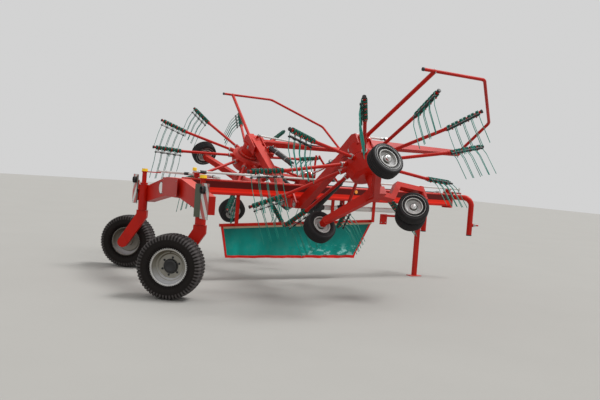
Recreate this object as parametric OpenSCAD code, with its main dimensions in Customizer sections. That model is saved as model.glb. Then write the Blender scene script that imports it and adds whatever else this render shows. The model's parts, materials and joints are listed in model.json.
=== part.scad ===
// Twin rotor hay rake, parked with both rotors raised as on a headland.
// +X is the machine's right, +Y its direction of travel, +Z up, and Z = 0 is the ground.

/* [Main frame] */
// Height of the beam's underside above the ground
beam_z = 1330; // [1300:5:1380]
// Height of the beam section
beam_h = 230; // [200:5:240]
// Width of the beam section
beam_w = 200; // [170:5:220]
// Width of the rounded corner of the beam section
beam_round = 30; // [15:1:45]
// Distance from the kingpin line to the headstock's pivot
head_y = 5400; // [5300:10:5700]
// Outer radius of the tube that holds the headstock's pivot
head_tube_r = 85; // [75:1:95]
// Radius of the headstock's pivot pin
head_pin_r = 50; // [40:1:55]

/* [Rear arch] */
// Half the distance between the kingpins
kingpin_x = 1175; // [1130:5:1250]
// Fore-and-aft depth of the arch
arch_depth = 160; // [140:5:180]
// Height of the arch section in the middle
arch_mid_h = 280; // [240:5:290]
// Height of the arch section at the kingpin tubes
arch_end_h = 250; // [200:5:270]
// Drop of the arch from its middle to the kingpin tubes
arch_drop = 160; // [120:5:180]
// Half length of the arch's level middle stretch
arch_flat = 300; // [260:5:340]
// Distance of the arch's rear face ahead of the kingpin line
arch_rear = 40; // [30:2:55]
// Outer radius of the kingpin tubes
kingpin_tube_r = 72; // [66:1:80]
// Radius of the kingpins
kingpin_r = 45; // [36:1:50]
// Length of the kingpin tubes
kingpin_tube_h = 405; // [390:5:420]
// Height of the lower end of the kingpin tubes
kingpin_tube_z = 970; // [960:5:980]

/* [Wheels] */
// Outer radius of the transport tyres
tyre_r = 425; // [400:5:440]
// Width of the transport tyres
tyre_w = 380; // [340:5:390]
// Radius of the transport rims
rim_r = 232; // [222:1:240]
// Offset of the transport wheels outwards from the kingpins
wheel_out = 267; // [262:1:290]
// Trail of the transport wheels behind the kingpins
wheel_trail = 283; // [260:1:300]
// Outer radius of the rotor chassis tyres
small_r = 228; // [215:1:235]
// Width of the rotor chassis tyres
small_w = 180; // [160:2:184]
// Radius of the rotor chassis rims
small_rim_r = 105; // [98:1:115]
// Radius of the stub axles
axle_r = 22; // [18:1:26]

/* [Steering] */
// Steering angle of the transport wheels, clockwise seen from above
steer_deg = 36.5; // [30:0.5:38]
// Angle of the headstock, anticlockwise seen from above
yaw_deg = 42; // [36:0.5:44]
// Sideways reach of the levers' tie rod pins
tie_dx = 60; // [50:1:65]
// Forward reach of the levers' tie rod pins
tie_dy = 220; // [205:1:230]
// Distance of the relay lever's pivot from the kingpin line
relay_y = 400; // [380:5:420]
// Distance of the idler lever's pivot from the kingpin line
idler_y = 2620; // [2600:5:2660]
// Arm that pulls the rear drag link
drag_arm = 150; // [140:1:160]
// Arm of the idler lever at the front drag link
idler_arm = 230; // [215:1:240]
// Arm of the headstock at the front drag link
head_arm = 200; // [190:1:210]
// Thickness of the steering levers
lever_t = 15; // [12:1:16]
// Gap between the beam and the steering levers
lever_gap = 15; // [10:1:18]
// Radius of the pins that join levers and rods
pin_r = 10; // [8:1:11]
// Radius of the tie rods and drag links
rod_r = 14; // [11:0.5:14]

/* [Booms] */
// Lift angle of the rotors as parked
lift_deg = 35; // [33:0.5:36]
// Distance of the boom pivots from the middle of the machine
boom_x = 190; // [185:1:200]
// Height of the boom pivots
boom_z = 1240; // [1225:5:1250]
// Distance of the boom pivots and rotors ahead of the kingpin line
rotor_y = 2146; // [2140:2:2180]
// Distance from the boom pivot to the rotor's axis
boom_len = 1737; // [1700:5:1760]
// Height of the boom's axis over the plane of the tine arms
boom_drop = 431; // [425:1:445]
// Width of the boom section
boom_w = 140; // [120:2:150]
// Height of the boom section
boom_h = 140; // [120:2:144]
// Radius of the boom pivot pins
boom_pin_r = 30; // [25:1:33]
// Inner distance between the plates that carry the boom pivots
boom_gap = 220; // [200:2:230]

/* [Rotors] */
// Number of tine arms on a rotor
arm_count = 11; // [9:1:11]
// Radius at the outer ends of the tine arms
rotor_r = 1746; // [1700:2:1760]
// Radius where the tine carriers start
carrier_in = 1231; // [1200:2:1250]
// Radius of the arm tubes
arm_r = 24; // [20:1:26]
// Radius of the tine carrier tubes
carrier_r = 20; // [17:1:21]
// Radius of the drum's shell
drum_r = 290; // [270:2:310]
// Radius where the arms leave the drum's sockets
socket_r = 372; // [350:2:380]
// Height of the sockets over the plane of the tine carriers
arm_up = 75; // [60:1:85]
// Phase of the right rotor's first arm
phase_right = -34; // [-36:0.5:-32]
// Phase of the left rotor's first arm
phase_left = -50.4; // [-52:0.2:-48]
// Number of twin tines on an arm
twin_count = 4; // [3:1:4]
// Depth of the tine tips below the arms
tine_depth = 545; // [500:5:560]
// Diameter of the tine wire
tine_d = 10; // [8:0.5:11]
// Backward lean of the tines' upper stretch
tine_lean = 24; // [18:1:28]
// Backward lean of the tines' lower stretch
tip_lean = 6; // [2:1:10]
// Length of the tines' upper stretch
tine_upper = 200; // [170:5:230]

/* [Rotor chassis] */
// Radius of the fixed column that carries the drum and the chassis
column_r = 55; // [48:1:60]
// Depth of the chassis wheel axles below the arms
axle_drop = 480; // [475:1:490]
// Distance of the rear chassis wheels from the rotor's fore-and-aft line
axle_side = 850; // [830:2:870]
// Distance of the rear chassis wheels behind the rotor's axis
axle_back = 430; // [420:2:450]
// Sideways place of the caster pivot
caster_side = -220; // [-230:2:-200]
// Distance of the caster pivot ahead of the rotor's axis
caster_ahead = 1100; // [1080:2:1110]
// Trail of the twin caster wheels
caster_trail = 250; // [240:2:260]
// Swivel of the caster at its stop
caster_deg = 27; // [24:0.5:30]
// Distance between the middles of the twin caster wheels
twin_gap = 230; // [228:1:236]

/* [Guards] */
// Height of the guard hoop over the tine arms
guard_up = 420; // [410:2:440]
// Radius of the guard hoop's tube
guard_r = 22; // [18:1:25]
// Distance of the guard hoop's outer run from the rotor's axis
guard_side = 1640; // [1610:5:1680]
// Distance of the hoop's outer bend ahead of the rotor's axis
guard_bend_y = 1020; // [1000:5:1060]
// Sideways place of the hoop's front bend
guard_bend_x = 800; // [760:5:840]
// Reach of the rotor's front beam ahead of the rotor's axis
guard_front = 1900; // [1870:5:1930]
// Width of the rotor's front beam section
front_beam = 80; // [70:2:90]
// Height of the front beam at the gear head
front_beam_h = 115; // [100:5:130]

/* [Hidden] */
$fn = 48;

// Running clearance of pins and shafts, and the gap kept between moving pieces
fit = 0.3;
clear = 5;
beam_top = beam_z + beam_h;
lever_z = beam_top + lever_gap;
pin_base = lever_z + lever_t;
eye_h = 26;
tie_z = pin_base + 2;
tie_top = tie_z + eye_h + 2;
arm_z = tie_top + clear;
drag_z = arm_z + lever_t + 2;
arch_y = arch_rear + arch_depth / 2;
arch_front = arch_rear + arch_depth;
kingpin_tube_top = kingpin_tube_z + kingpin_tube_h;
// Middle of the footprint, seen from the middle of the kingpin line
foot_x = 6.83;
foot_y = 2588.51;

red = [0.72, 0.07, 0.10];
pink = [0.83, 0.20, 0.24];
black = [0.06, 0.06, 0.065];
silver = [0.72, 0.73, 0.74];
dark = [0.22, 0.23, 0.24];
green = [0.10, 0.42, 0.36];
yellow = [0.93, 0.78, 0.10];
white = [0.93, 0.93, 0.92];

function rot2(v, a) = [v[0] * cos(a) - v[1] * sin(a), v[0] * sin(a) + v[1] * cos(a)];

// Moves the model so that its origin is in the middle of its footprint
module footprint() {
    translate([-foot_x, -foot_y, 0]) children();
}
// Places a piece drawn for the right side on either side
module on_side(side) {
    if (side > 0) children();
    else mirror([1, 0, 0]) children();
}
// Frame of a steered wheel: its origin is on the kingpin at ground level
module steer_place(side) {
    footprint() translate([side * kingpin_x, 0, 0]) rotate([0, 0, -steer_deg]) on_side(side) children();
}
// Frame of a boom: its origin is on the boom's pivot, with +X along the boom
module boom_place(side) {
    footprint() on_side(side) translate([boom_x, rotor_y, boom_z]) rotate([0, -lift_deg, 0]) children();
}
// Frame of a rotor: its origin is on the rotor's axis in the plane of the arms
module rotor_place(side) {
    boom_place(side) translate([boom_len, 0, -boom_drop]) children();
}
// Cylinder between two points
module rod(p, q, r) {
    d = q - p;
    translate(p) rotate([0, acos(d[2] / norm(d)), atan2(d[1], d[0])]) cylinder(h = norm(d), r = r);
}
// Rectangular bar between two points, w across and h high
module bar(p, q, w, h) {
    d = q - p;
    translate(p) rotate([0, acos(d[2] / norm(d)), atan2(d[1], d[0])])
        translate([-h / 2, -w / 2, 0]) cube([h, w, norm(d)]);
}
// Flat steering lever with its hub in the origin and an eye at the end of each arm
module lever_plate(arms) {
    linear_extrude(lever_t) {
        circle(lever_hub_r);
        for (v = arms) {
            rotate(atan2(v[1], v[0])) translate([0, -lever_w / 2]) square([norm(v), lever_w]);
            translate(v) circle(lever_w / 2 + 4);
        }
    }
}
// Box from its middle in X and Y
module block(x, y, z, w, d, h) {
    translate([x - w / 2, y - d / 2, z]) cube([w, d, h]);
}
// Rectangular bar of width w whose height tapers from h to end_h
module tapered_bar(p, q, w, h, end_h) {
    d = q - p;
    translate(p) rotate([0, acos(d[2] / norm(d)), atan2(d[1], d[0])]) translate([0, w / 2, 0]) rotate([90, 0, 0])
        linear_extrude(w) polygon([[-h / 2, 0], [h / 2, 0], [end_h / 2, norm(d)], [-end_h / 2, norm(d)]]);
}
// Outline of a bar of height h that kinks at the inner points of a path
module kinked(path, h) {
    last = len(path) - 1;
    function across(i) = [path[i][1] - path[i + 1][1], path[i + 1][0] - path[i][0]] / norm(path[i + 1] - path[i]);
    function mitre(i) = let(m = across(max(i - 1, 0)) + across(min(i, last - 1))) m * h / (m * m);
    polygon([for (i = [0 : last]) path[i] + mitre(i), for (i = [last : -1 : 0]) path[i] - mitre(i)]);
}
// Rectangle with round corners
module round_rect(w, h, r) {
    square([w - 2 * r, h], center = true);
    square([w, h - 2 * r], center = true);
    for (x = [-1, 1], y = [-1, 1]) translate([x * (w / 2 - r), y * (h / 2 - r)]) circle(r);
}
// Tube that bends round the inner points of a path; its elbows are a little stouter
module bent_tube(path, r, bend) {
    last = len(path) - 1;
    lap = 2;
    function unit(v) = v / norm(v);
    function turn(i) = acos(unit(path[i] - path[i - 1]) * unit(path[i + 1] - path[i]));
    function cut(i) = (i == 0 || i == last) ? 0 : bend * tan(turn(i) / 2) - lap;
    for (i = [0 : last - 1]) {
        d = unit(path[i + 1] - path[i]);
        rod(path[i] + d * cut(i), path[i + 1] - d * cut(i + 1), r);
    }
    for (i = [1 : last - 1]) {
        a = unit(path[i] - path[i - 1]);
        b = unit(path[i + 1] - path[i]);
        side = unit(b - a * (a * b));
        start = path[i] - a * (cut(i) + lap);
        n = cross(a, side);
        multmatrix([[-side[0], a[0], n[0], start[0] + side[0] * bend],
                    [-side[1], a[1], n[1], start[1] + side[1] * bend],
                    [-side[2], a[2], n[2], start[2] + side[2] * bend],
                    [0, 0, 0, 1]])
            rotate_extrude(angle = turn(i)) translate([bend, 0]) circle(r + 0.8);
    }
}

// Lift cylinders: the two lie side by side, one ahead of the other
cyl_y = rotor_y + 200;
cyl_shift = 45;
cyl_anchor_x = 45;
cyl_anchor_z = beam_top + 180;
cyl_eye_u = 1400;
cyl_eye_n = 120;
function cyl_v(side) = cyl_y - rotor_y + side * cyl_shift;
gear_y = rotor_y + 310;
gear_z = 1200;
gear_w = 240;
gear_d = 250;
gear_h = 210;
pto_end = 4600;
pto_r = 32;
curtain_rear = 850;
curtain_front = 3710;
curtain_top = 1003;
curtain_rise = 143;
curtain_low = 360;
curtain_bar = 44;
// Height of the curtain's bar, which rises to the front
function curtain_z(y) = curtain_top - curtain_rise * (curtain_front - y) / (curtain_front - curtain_rear);

// Frame that carries the booms, the steering gear and the headstock
module main_beam() {
    color(red) footprint() difference() {
        union() {
            translate([0, arch_front, beam_z + beam_h / 2]) rotate([-90, 0, 0])
                linear_extrude(head_y - arch_front) round_rect(beam_w, beam_h, beam_round);
            translate([0, head_y - head_tube_r, 0]) rotate([90, 0, 0])
                linear_extrude(head_y - head_tube_r - arch_front) beam_rail();
            translate([0, head_y, beam_z]) cylinder(h = beam_h, r = head_tube_r);
            for (y = [-1, 1]) boom_plate(rotor_y + y * (boom_gap + plate_t) / 2);
            for (i = [-1 : 1]) anchor_plate(cyl_y + i * 2 * cyl_shift);
            for (y = [relay_y, idler_y]) translate([0, y, beam_top - 1])
                cylinder(h = drag_z - beam_top - 2, r = post_r);
            for (y = hanger_y) pto_hanger(y);
            stand_bracket();
        }
        translate([0, head_y, beam_z - 1]) cylinder(h = beam_h + 2, r = head_pin_r + fit);
        for (y = hanger_y) translate([0, y - hanger_t, pto_z]) rotate([-90, 0, 0])
            cylinder(h = hanger_t * 2, r = pto_r + fit);
    }
    color(dark) footprint() for (x = [-1, 1]) translate([x * boom_x, rotor_y - boom_gap / 2, boom_z])
        rotate([-90, 0, 0]) cylinder(h = boom_gap, r = boom_pin_r);
}
// Flared lower rail of the beam
rail_out = 14;
rail_h = 75;
module beam_rail() {
    half = beam_w / 2;
    polygon([[-half - rail_out, beam_z + 3], [half + rail_out, beam_z + 3], [half + rail_out, beam_z + 15],
             [half - 2, beam_z + rail_h], [-half + 2, beam_z + rail_h], [-half - rail_out, beam_z + 15]]);
}
plate_t = 25;
anchor_t = 14;
anchor_half = cyl_anchor_x + 33;
post_r = 30;
hanger_y = [3060, 4340];
hanger_t = 30;
pto_z = gear_z;
// Transverse plate with the ears of both boom pivots
module boom_plate(y) {
    ear = 55;
    translate([0, y + plate_t / 2, 0]) rotate([90, 0, 0]) linear_extrude(plate_t) {
        polygon([[-beam_w / 2 - 20, beam_z + 90], [-boom_x - ear, boom_z + 30],
                 [-boom_x - ear, boom_z], [-boom_x, boom_z - ear], [boom_x, boom_z - ear],
                 [boom_x + ear, boom_z], [boom_x + ear, boom_z + 30], [beam_w / 2 + 20, beam_z + 90]]);
        for (x = [-1, 1]) translate([x * boom_x, boom_z]) circle(ear);
    }
}
// Upright plate on the beam that takes the rod ends of both lift cylinders
module anchor_plate(y) {
    translate([0, y + anchor_t / 2, 0]) rotate([90, 0, 0]) linear_extrude(anchor_t)
        polygon([[-beam_w / 2 + 8, beam_top - 12], [-beam_w / 2 + 8, beam_top + 4], [-anchor_half, beam_top + 30],
                 [-anchor_half, cyl_anchor_z], [-cyl_anchor_x, cyl_anchor_z + 33], [cyl_anchor_x, cyl_anchor_z + 33],
                 [anchor_half, cyl_anchor_z], [anchor_half, beam_top + 30], [beam_w / 2 - 8, beam_top + 4],
                 [beam_w / 2 - 8, beam_top - 12]]);
}
// Hanger with the bearing of the drive line
module pto_hanger(y) {
    block(0, y, pto_z - 10, 2 * pto_r + 40, hanger_t, beam_z - pto_z + 15);
    translate([0, y - hanger_t / 2, pto_z]) rotate([-90, 0, 0]) cylinder(h = hanger_t, r = pto_r + 20);
}
stand_x = -200;
stand_y = 4860;
stand_z = 1290;
stand_w = 70;
stand_back = 60;
module stand_bracket() {
    translate([-beam_w / 2 + 5, stand_y - 50, stand_z - 45]) rotate([0, 0, 180])
        translate([0, -100, 0]) cube([-stand_x - beam_w / 2 - stand_w / 2 - clear, 100, 120]);
    translate([stand_x - stand_w / 2 - clear - 8, stand_y, stand_z]) rotate([0, 90, 0])
        cylinder(h = -stand_x - beam_w / 2 + stand_w / 2 + 20, r = 18);
}

// Arch between the kingpin tubes
module rear_arch() {
    mid_low = beam_top - 20 - arch_mid_h;
    end_low = mid_low - arch_drop;
    color(red) footprint() difference() {
        union() {
            translate([0, arch_front, 0]) rotate([90, 0, 0]) linear_extrude(arch_depth)
                polygon([[-kingpin_x, end_low], [-arch_flat, mid_low], [arch_flat, mid_low],
                         [kingpin_x, end_low], [kingpin_x, end_low + arch_end_h],
                         [arch_flat, mid_low + arch_mid_h], [-arch_flat, mid_low + arch_mid_h],
                         [-kingpin_x, end_low + arch_end_h]]);
            for (x = [-1, 1]) translate([x * kingpin_x, 0, kingpin_tube_z])
                cylinder(h = kingpin_tube_h, r = kingpin_tube_r);
            for (x = [-1, 1]) on_side(x) board_arm();
            block(0, arch_rear + 4 - (sign_gap + 4 - fit) / 2, mid_low + 60, 200, sign_gap + 4 - fit, 150);
        }
        for (x = [-1, 1]) translate([x * kingpin_x, 0, kingpin_tube_z - 1])
            cylinder(h = kingpin_tube_h + 2, r = kingpin_r + fit);
    }
}
board_in = kingpin_x + 105;
board_y = -60;
board_z = 1060;
board_w = 250;
board_h = 470;
board_t = 4;
wing_w = 92;
wing_back = 48;
// Bar from the kingpin tube to the warning board
module board_arm() {
    bar([kingpin_x, 0, board_z + 220], [board_in + 85, board_y + 25, board_z + 220], 40, 40);
    block(board_in + 85, board_y + board_t / 2 + 20, board_z + 50, 40, 40, 330);
}
module warning_boards() {
    color(white) footprint() for (x = [-1, 1]) on_side(x) {
        translate([board_in, board_y - board_t / 2, board_z]) cube([board_w, board_t, board_h]);
        translate([0, 0, board_z + 15]) linear_extrude(board_h - 30)
            polygon([[board_in + 6, board_y], [board_in + 3, board_y + board_t / 2 - 1],
                     [board_in - wing_w, board_y - wing_back], [board_in - wing_w + 3, board_y - wing_back - board_t]]);
    }
}
lamp_r = 52;
lamp_in = 100;
lamp_drop = 90;
module rear_lamps() {
    color(black) footprint() for (x = [-1, 1]) on_side(x)
        translate([board_in + lamp_in, board_y - board_t / 2, board_z + board_h - lamp_drop]) rotate([90, 0, 0])
            cylinder(h = 50, r = lamp_r);
}
// Blank plate in the middle and a blank disc beside it
sign_gap = 50;
sign_t = 8;
sign_w = 600;
sign_h = 270;
disc_out = 190;
disc_r = 95;
module rear_plates() {
    mid_z = beam_top - 20 - arch_mid_h / 2;
    color(white) footprint() {
        translate([0, arch_rear - sign_gap, mid_z]) rotate([90, 0, 0]) linear_extrude(sign_t)
            round_rect(sign_w, sign_h, 25);
        translate([-arch_flat - disc_out, arch_rear, mid_z - disc_out * arch_drop / (kingpin_x - arch_flat)])
            rotate([90, 0, 0]) cylinder(h = 4, r = disc_r);
    }
}

module curtain() {
    t = 10;
    seam = curtain_bar / 2 + fit;
    tip = curtain_front - 10;
    color(green) footprint() translate([t / 2, 0, 0]) rotate([90, 0, -90]) mirror([1, 0, 0]) linear_extrude(t)
        polygon([[curtain_rear, curtain_z(curtain_rear) - seam], [curtain_rear + 105, curtain_low],
                 [curtain_front - 340, curtain_low], [tip, curtain_z(tip) - seam]]);
}
module curtain_frame() {
    start = curtain_rear - 20;
    end = curtain_front + 20;
    plate_x = 60;
    color(red) footprint() {
        bar([0, start, curtain_z(start)], [0, end, curtain_z(end)], curtain_bar, curtain_bar);
        for (y = [curtain_rear + 200, 2800, curtain_front - 60]) {
            low = curtain_z(y) - 12;
            translate([curtain_bar / 2 - 4, y, low]) cube([plate_x + 10 - curtain_bar / 2, 60, 30]);
            translate([plate_x, y, low]) cube([10, 60, beam_z - low]);
        }
    }
}
// Angle gearbox under the beam that drives both rotor shafts
module gearbox() {
    color(dark) footprint() {
        block(0, gear_y, gear_z - gear_h / 2, gear_w, gear_d, gear_h);
        block(0, gear_y, gear_z, gear_w - 60, gear_d - 60, beam_z - gear_z);
        for (x = [-1, 1]) on_side(x) {
            translate([gear_w / 2 - 1, gear_y, gear_z]) rotate([0, 90, 0]) cylinder(h = 41, r = 16);
            translate(shaft_a) sphere(r = ball_r);
            translate(shaft_a) rotate([90, 0, 0]) cylinder(h = 2 * ball_r + 20, r = 8, center = true);
        }
    }
}
module pto_line() {
    color(dark) footprint() {
        translate([0, gear_y + gear_d / 2, pto_z]) rotate([-90, 0, 0])
            cylinder(h = pto_end - gear_y - gear_d / 2, r = pto_r);
        translate([0, pto_end - 1, pto_z]) rotate([-90, 0, 0]) cylinder(h = 91, r = 17.5);
    }
}

link_span = 425;
link_z = 1000;
leg_low = 800;
u_top = 1500;
u_y = 250;
u_r = 50;
plate_h = 25;
// Headstock that turns on the beam's front end and takes the lower links
module headstock() {
    low_plate = beam_z - clear - plate_h;
    color(red) footprint() translate([0, head_y, 0]) rotate([0, 0, yaw_deg]) {
        for (z = [low_plate, beam_top + clear]) {
            translate([0, 0, z]) cylinder(h = plate_h, r = 90);
            block(0, 110, z, 170, 220, plate_h);
        }
        block(0, 180, low_plate, 170, 100, beam_top + clear + plate_h - low_plate);
        translate([0, 0, low_plate]) cylinder(h = beam_top - low_plate + 90, r = head_pin_r);
        bent_tube([[-link_span, u_y, leg_low], [-link_span, u_y, u_top], [link_span, u_y, u_top],
                   [link_span, u_y, leg_low]], u_r, 150);
        for (x = [-1, 1]) on_side(x) translate([link_span, u_y, link_z]) rotate([0, 90, 0]) {
            cylinder(h = u_r + 20, r = 32);
            cylinder(h = u_r + 110, r = 14);
        }
        translate([0, -45, beam_top + clear]) cube([head_arm, 90, plate_h]);
        translate([head_arm, 0, beam_top + clear]) cylinder(h = plate_h, r = 45);
    }
}
// Swing-up parking stand on the left of the beam's front end
module stand() {
    foot_t = 12;
    color(red) footprint() difference() {
        union() {
            block(stand_x, stand_y + stand_back, foot_t - 1, stand_w, stand_w, stand_z + 50 - foot_t);
            block(stand_x, stand_y + stand_back, 0, 150, 240, foot_t);
            translate([stand_x - stand_w / 2, stand_y, stand_z]) rotate([0, 90, 0]) cylinder(h = stand_w, r = 40);
            block(stand_x, stand_y + stand_back / 2, stand_z - 40, stand_w, stand_back, 80);
        }
        translate([stand_x - stand_w, stand_y, stand_z]) rotate([0, 90, 0]) cylinder(h = stand_w * 2, r = 18 + fit);
    }
}

// Kingpin, leg and steering lever of a transport wheel
module steer_leg(side) {
    axle_z = tyre_r;
    leg_top = kingpin_tube_z - clear;
    half = leg_w / 2;
    color(red) steer_place(side) {
        translate([0, 0, leg_top - 60]) cylinder(h = kingpin_tube_top - leg_top + 60 + clear, r = kingpin_r);
        translate([0, 0, kingpin_tube_top]) cylinder(h = pin_base - kingpin_tube_top, r = kingpin_r - 9);
        translate([0, 0, kingpin_tube_top + clear]) cylinder(h = 24, r = kingpin_r + 15);
        translate([leg_t / 2, 0, 0]) rotate([90, 0, -90]) linear_extrude(leg_t)
            polygon([[half, leg_top], [-half, leg_top], [-half, leg_top - leg_knee],
                     [wheel_trail - half + 8, axle_z - half * 0.4], [wheel_trail + half - 8, axle_z + half * 0.4],
                     [half, leg_top - leg_knee / 2]]);
        translate([-leg_t / 2 - 6, -wheel_trail, axle_z]) rotate([0, 90, 0]) cylinder(h = leg_t + 12, r = half - 4);
        translate([0, 0, lever_z]) lever_plate([[tie_dx, tie_dy]]);
        translate([tie_dx, tie_dy, lever_z]) cylinder(h = lever_t + eye_h + 4, r = pin_r);
        translate([40, -wheel_trail, axle_z]) rotate([0, 90, 0]) cylinder(h = wheel_out - 40, r = kingpin_r);
    }
    color(yellow) steer_place(side) translate([0, 0, pin_base]) cylinder(h = 40, r = 45);
}
leg_w = 165;
leg_t = 84;
leg_knee = 115;
// Section of a tyre as [across, radius] points
function tyre_profile(r, w, rim) = [
    [-0.36 * w, rim], [-0.44 * w, rim + 0.12 * (r - rim)], [-0.5 * w, rim + 0.5 * (r - rim)],
    [-0.48 * w, r - 0.18 * (r - rim)], [-0.4 * w, r - 0.05 * (r - rim)], [-0.24 * w, r],
    [0.24 * w, r], [0.4 * w, r - 0.05 * (r - rim)], [0.48 * w, r - 0.18 * (r - rim)],
    [0.5 * w, rim + 0.5 * (r - rim)], [0.44 * w, rim + 0.12 * (r - rim)], [0.36 * w, rim]];
// Turned body with its axis along X from [across, radius] points
module turned(points) {
    rotate([0, 90, 0]) rotate_extrude() polygon([for (p = points) [p[1], p[0]]]);
}
module wheel_place(side) {
    steer_place(side) translate([wheel_out, -wheel_trail, tyre_r]) children();
}
module tyre(side) {
    color(black) wheel_place(side) turned(tyre_profile(tyre_r, tyre_w, rim_r + fit));
}
module rim(side) {
    w = 0.36 * tyre_w;
    lip = rim_r - 12;
    bore = kingpin_r + fit;
    seat = rim_r - 55;
    hub_r = 86;
    color(silver) wheel_place(side) {
        turned([[-w, rim_r], [-w, lip], [-25, lip - 4], [20, seat], [5, seat - 12], [5, 80], [-60, 80], [-60, bore],
                [8, bore], [8, 0], [50, 0], [50, hub_r], [17, hub_r], [17, seat - 20], [34, seat - 10],
                [44, seat], [44, seat + 10], [w - 30, lip - 4], [w, lip], [w, rim_r]]);
    }
}

// Levers and rods of the rear steering
lever_w = 54;
lever_hub_r = 48;
// Lever on a post of the beam: low arms for the tie rods, high arms for the drag links
module post_lever(y, low_arms, high_arms) {
    color(red) footprint() translate([0, y, 0]) rotate([0, 0, -steer_deg]) difference() {
        union() {
            translate([0, 0, lever_z]) lever_plate(low_arms);
            translate([0, 0, lever_z]) cylinder(h = arm_z - lever_z + lever_t / 2, r = lever_hub_r - 6);
            translate([0, 0, arm_z]) lever_plate(high_arms);
            for (v = low_arms) translate([v[0], v[1], lever_z]) cylinder(h = tie_top - lever_z, r = pin_r);
            for (v = high_arms) translate([v[0], v[1], arm_z]) cylinder(h = drag_z + eye_h + 2 - arm_z, r = pin_r);
        }
        translate([0, 0, lever_z - 1]) cylinder(h = drag_z - lever_z + 2, r = post_r + fit);
    }
}
module relay_lever() {
    post_lever(relay_y, [[tie_dx, tie_dy], [-tie_dx, tie_dy]], [[drag_arm, 0]]);
}
module idler_lever() {
    post_lever(idler_y, [], [[drag_arm, 0], [-idler_arm, 0]]);
}
// Rod with an eye at each end, the second one with more play
module link(p, q, z) {
    mid = z + eye_h / 2;
    d = (q - p) / norm(q - p);
    color(silver) footprint() difference() {
        union() {
            rod([p[0] + d[0] * 16, p[1] + d[1] * 16, mid], [q[0] - d[0] * 16, q[1] - d[1] * 16, mid], rod_r);
            for (e = [p, q]) translate([e[0], e[1], z]) cylinder(h = eye_h, r = 24);
        }
        translate([p[0], p[1], z - 1]) cylinder(h = eye_h + 2, r = pin_r + fit);
        translate([q[0], q[1], z - 1]) cylinder(h = eye_h + 2, r = pin_r + 1);
    }
}
module tie_rod(side) {
    w = rot2([side * tie_dx, tie_dy], -steer_deg);
    link([w[0], relay_y + w[1]], [side * kingpin_x + w[0], w[1]], tie_z);
}
module drag_link_rear() {
    w = rot2([drag_arm, 0], -steer_deg);
    link([w[0], relay_y + w[1]], [w[0], idler_y + w[1]], drag_z);
}
// The front link's far eye is solid and its pin stops just over the headstock's arm
module drag_link_front() {
    w = rot2([-idler_arm, 0], -steer_deg);
    h = rot2([head_arm, 0], yaw_deg);
    pin_low = beam_top + clear + plate_h + clear;
    link([w[0], idler_y + w[1]], [h[0], head_y + h[1]], drag_z);
    color(silver) footprint() translate([h[0], head_y + h[1], pin_low])
        cylinder(h = drag_z + eye_h + 12 - pin_low, r = pin_r + 2);
}

// Boom from its pivot to the gear head on top of the rotor
head_r = 160;
head_low = 175;
cheek_v = 118;
cheek_t = 16;
cheek_back = 330;
seat_v = 185;
seat_u = 205;
module boom(side) {
    color(red) boom_place(side) difference() {
        union() {
            translate([0, -boom_w / 2, -boom_h / 2]) cube([boom_len, boom_w, boom_h]);
            translate([0, -boom_gap / 2 + 8, 0]) rotate([-90, 0, 0]) cylinder(h = boom_gap - 16, r = 62);
            translate([boom_len, 0, head_low - boom_drop]) gear_head();
            for (y = [-1, 1]) translate([cyl_eye_u - 110, cyl_v(side) + y * 48 - 7, 0]) cylinder_lug();
            translate([cyl_eye_u - 110, 0, 0]) cube([220, cyl_v(side) + 50, boom_h / 2]);
            translate([boom_len - 180, shaft_v - 50, -shaft_drop - 45]) cube([120, 100, 90]);
        }
        translate([0, -boom_gap, 0]) rotate([-90, 0, 0]) cylinder(h = boom_gap * 2, r = boom_pin_r + fit);
        translate([cyl_eye_u, cyl_v(side) - 60, cyl_eye_n]) rotate([-90, 0, 0]) cylinder(h = 120, r = 15 + fit);
    }
}
// Gear head over the rotor: column, flange, two cheeks and the seats of the front beam and the stay
module gear_head() {
    axis_n = boom_drop - head_low;
    cylinder(h = axis_n - boom_h / 2 + 10, r = head_r);
    cylinder(h = 22, r = head_r + 45);
    for (v = [-1, 1]) translate([0, v * cheek_v + cheek_t / 2, axis_n]) rotate([90, 0, 0]) linear_extrude(cheek_t)
        polygon([[-cheek_back, -boom_h / 2], [-cheek_back + 40, boom_h / 2 + 6], [60, boom_h / 2 + 22],
                 [150, boom_h / 2 - 20], [150, -boom_h / 2 - 40], [-120, -boom_h / 2 - 40],
                 [-190, -boom_h / 2]]);
    block(0, 0, axis_n - boom_h / 2 - 30, 250, 2 * cheek_v, boom_h + 20);
    translate([-75, 0, axis_n - 80]) cube([150, seat_v, 145]);
    translate([0, -55, axis_n - 80]) cube([seat_u, 110, 120]);
}
// Ear of the boom that takes the pin of the lift cylinder
module cylinder_lug() {
    rotate([-90, 0, 0]) mirror([0, 1, 0]) linear_extrude(14) {
        polygon([[0, 0], [220, 0], [220, 60], [110 + 32, cyl_eye_n], [110 - 32, cyl_eye_n], [0, 60]]);
        translate([110, cyl_eye_n]) circle(34);
    }
}
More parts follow.
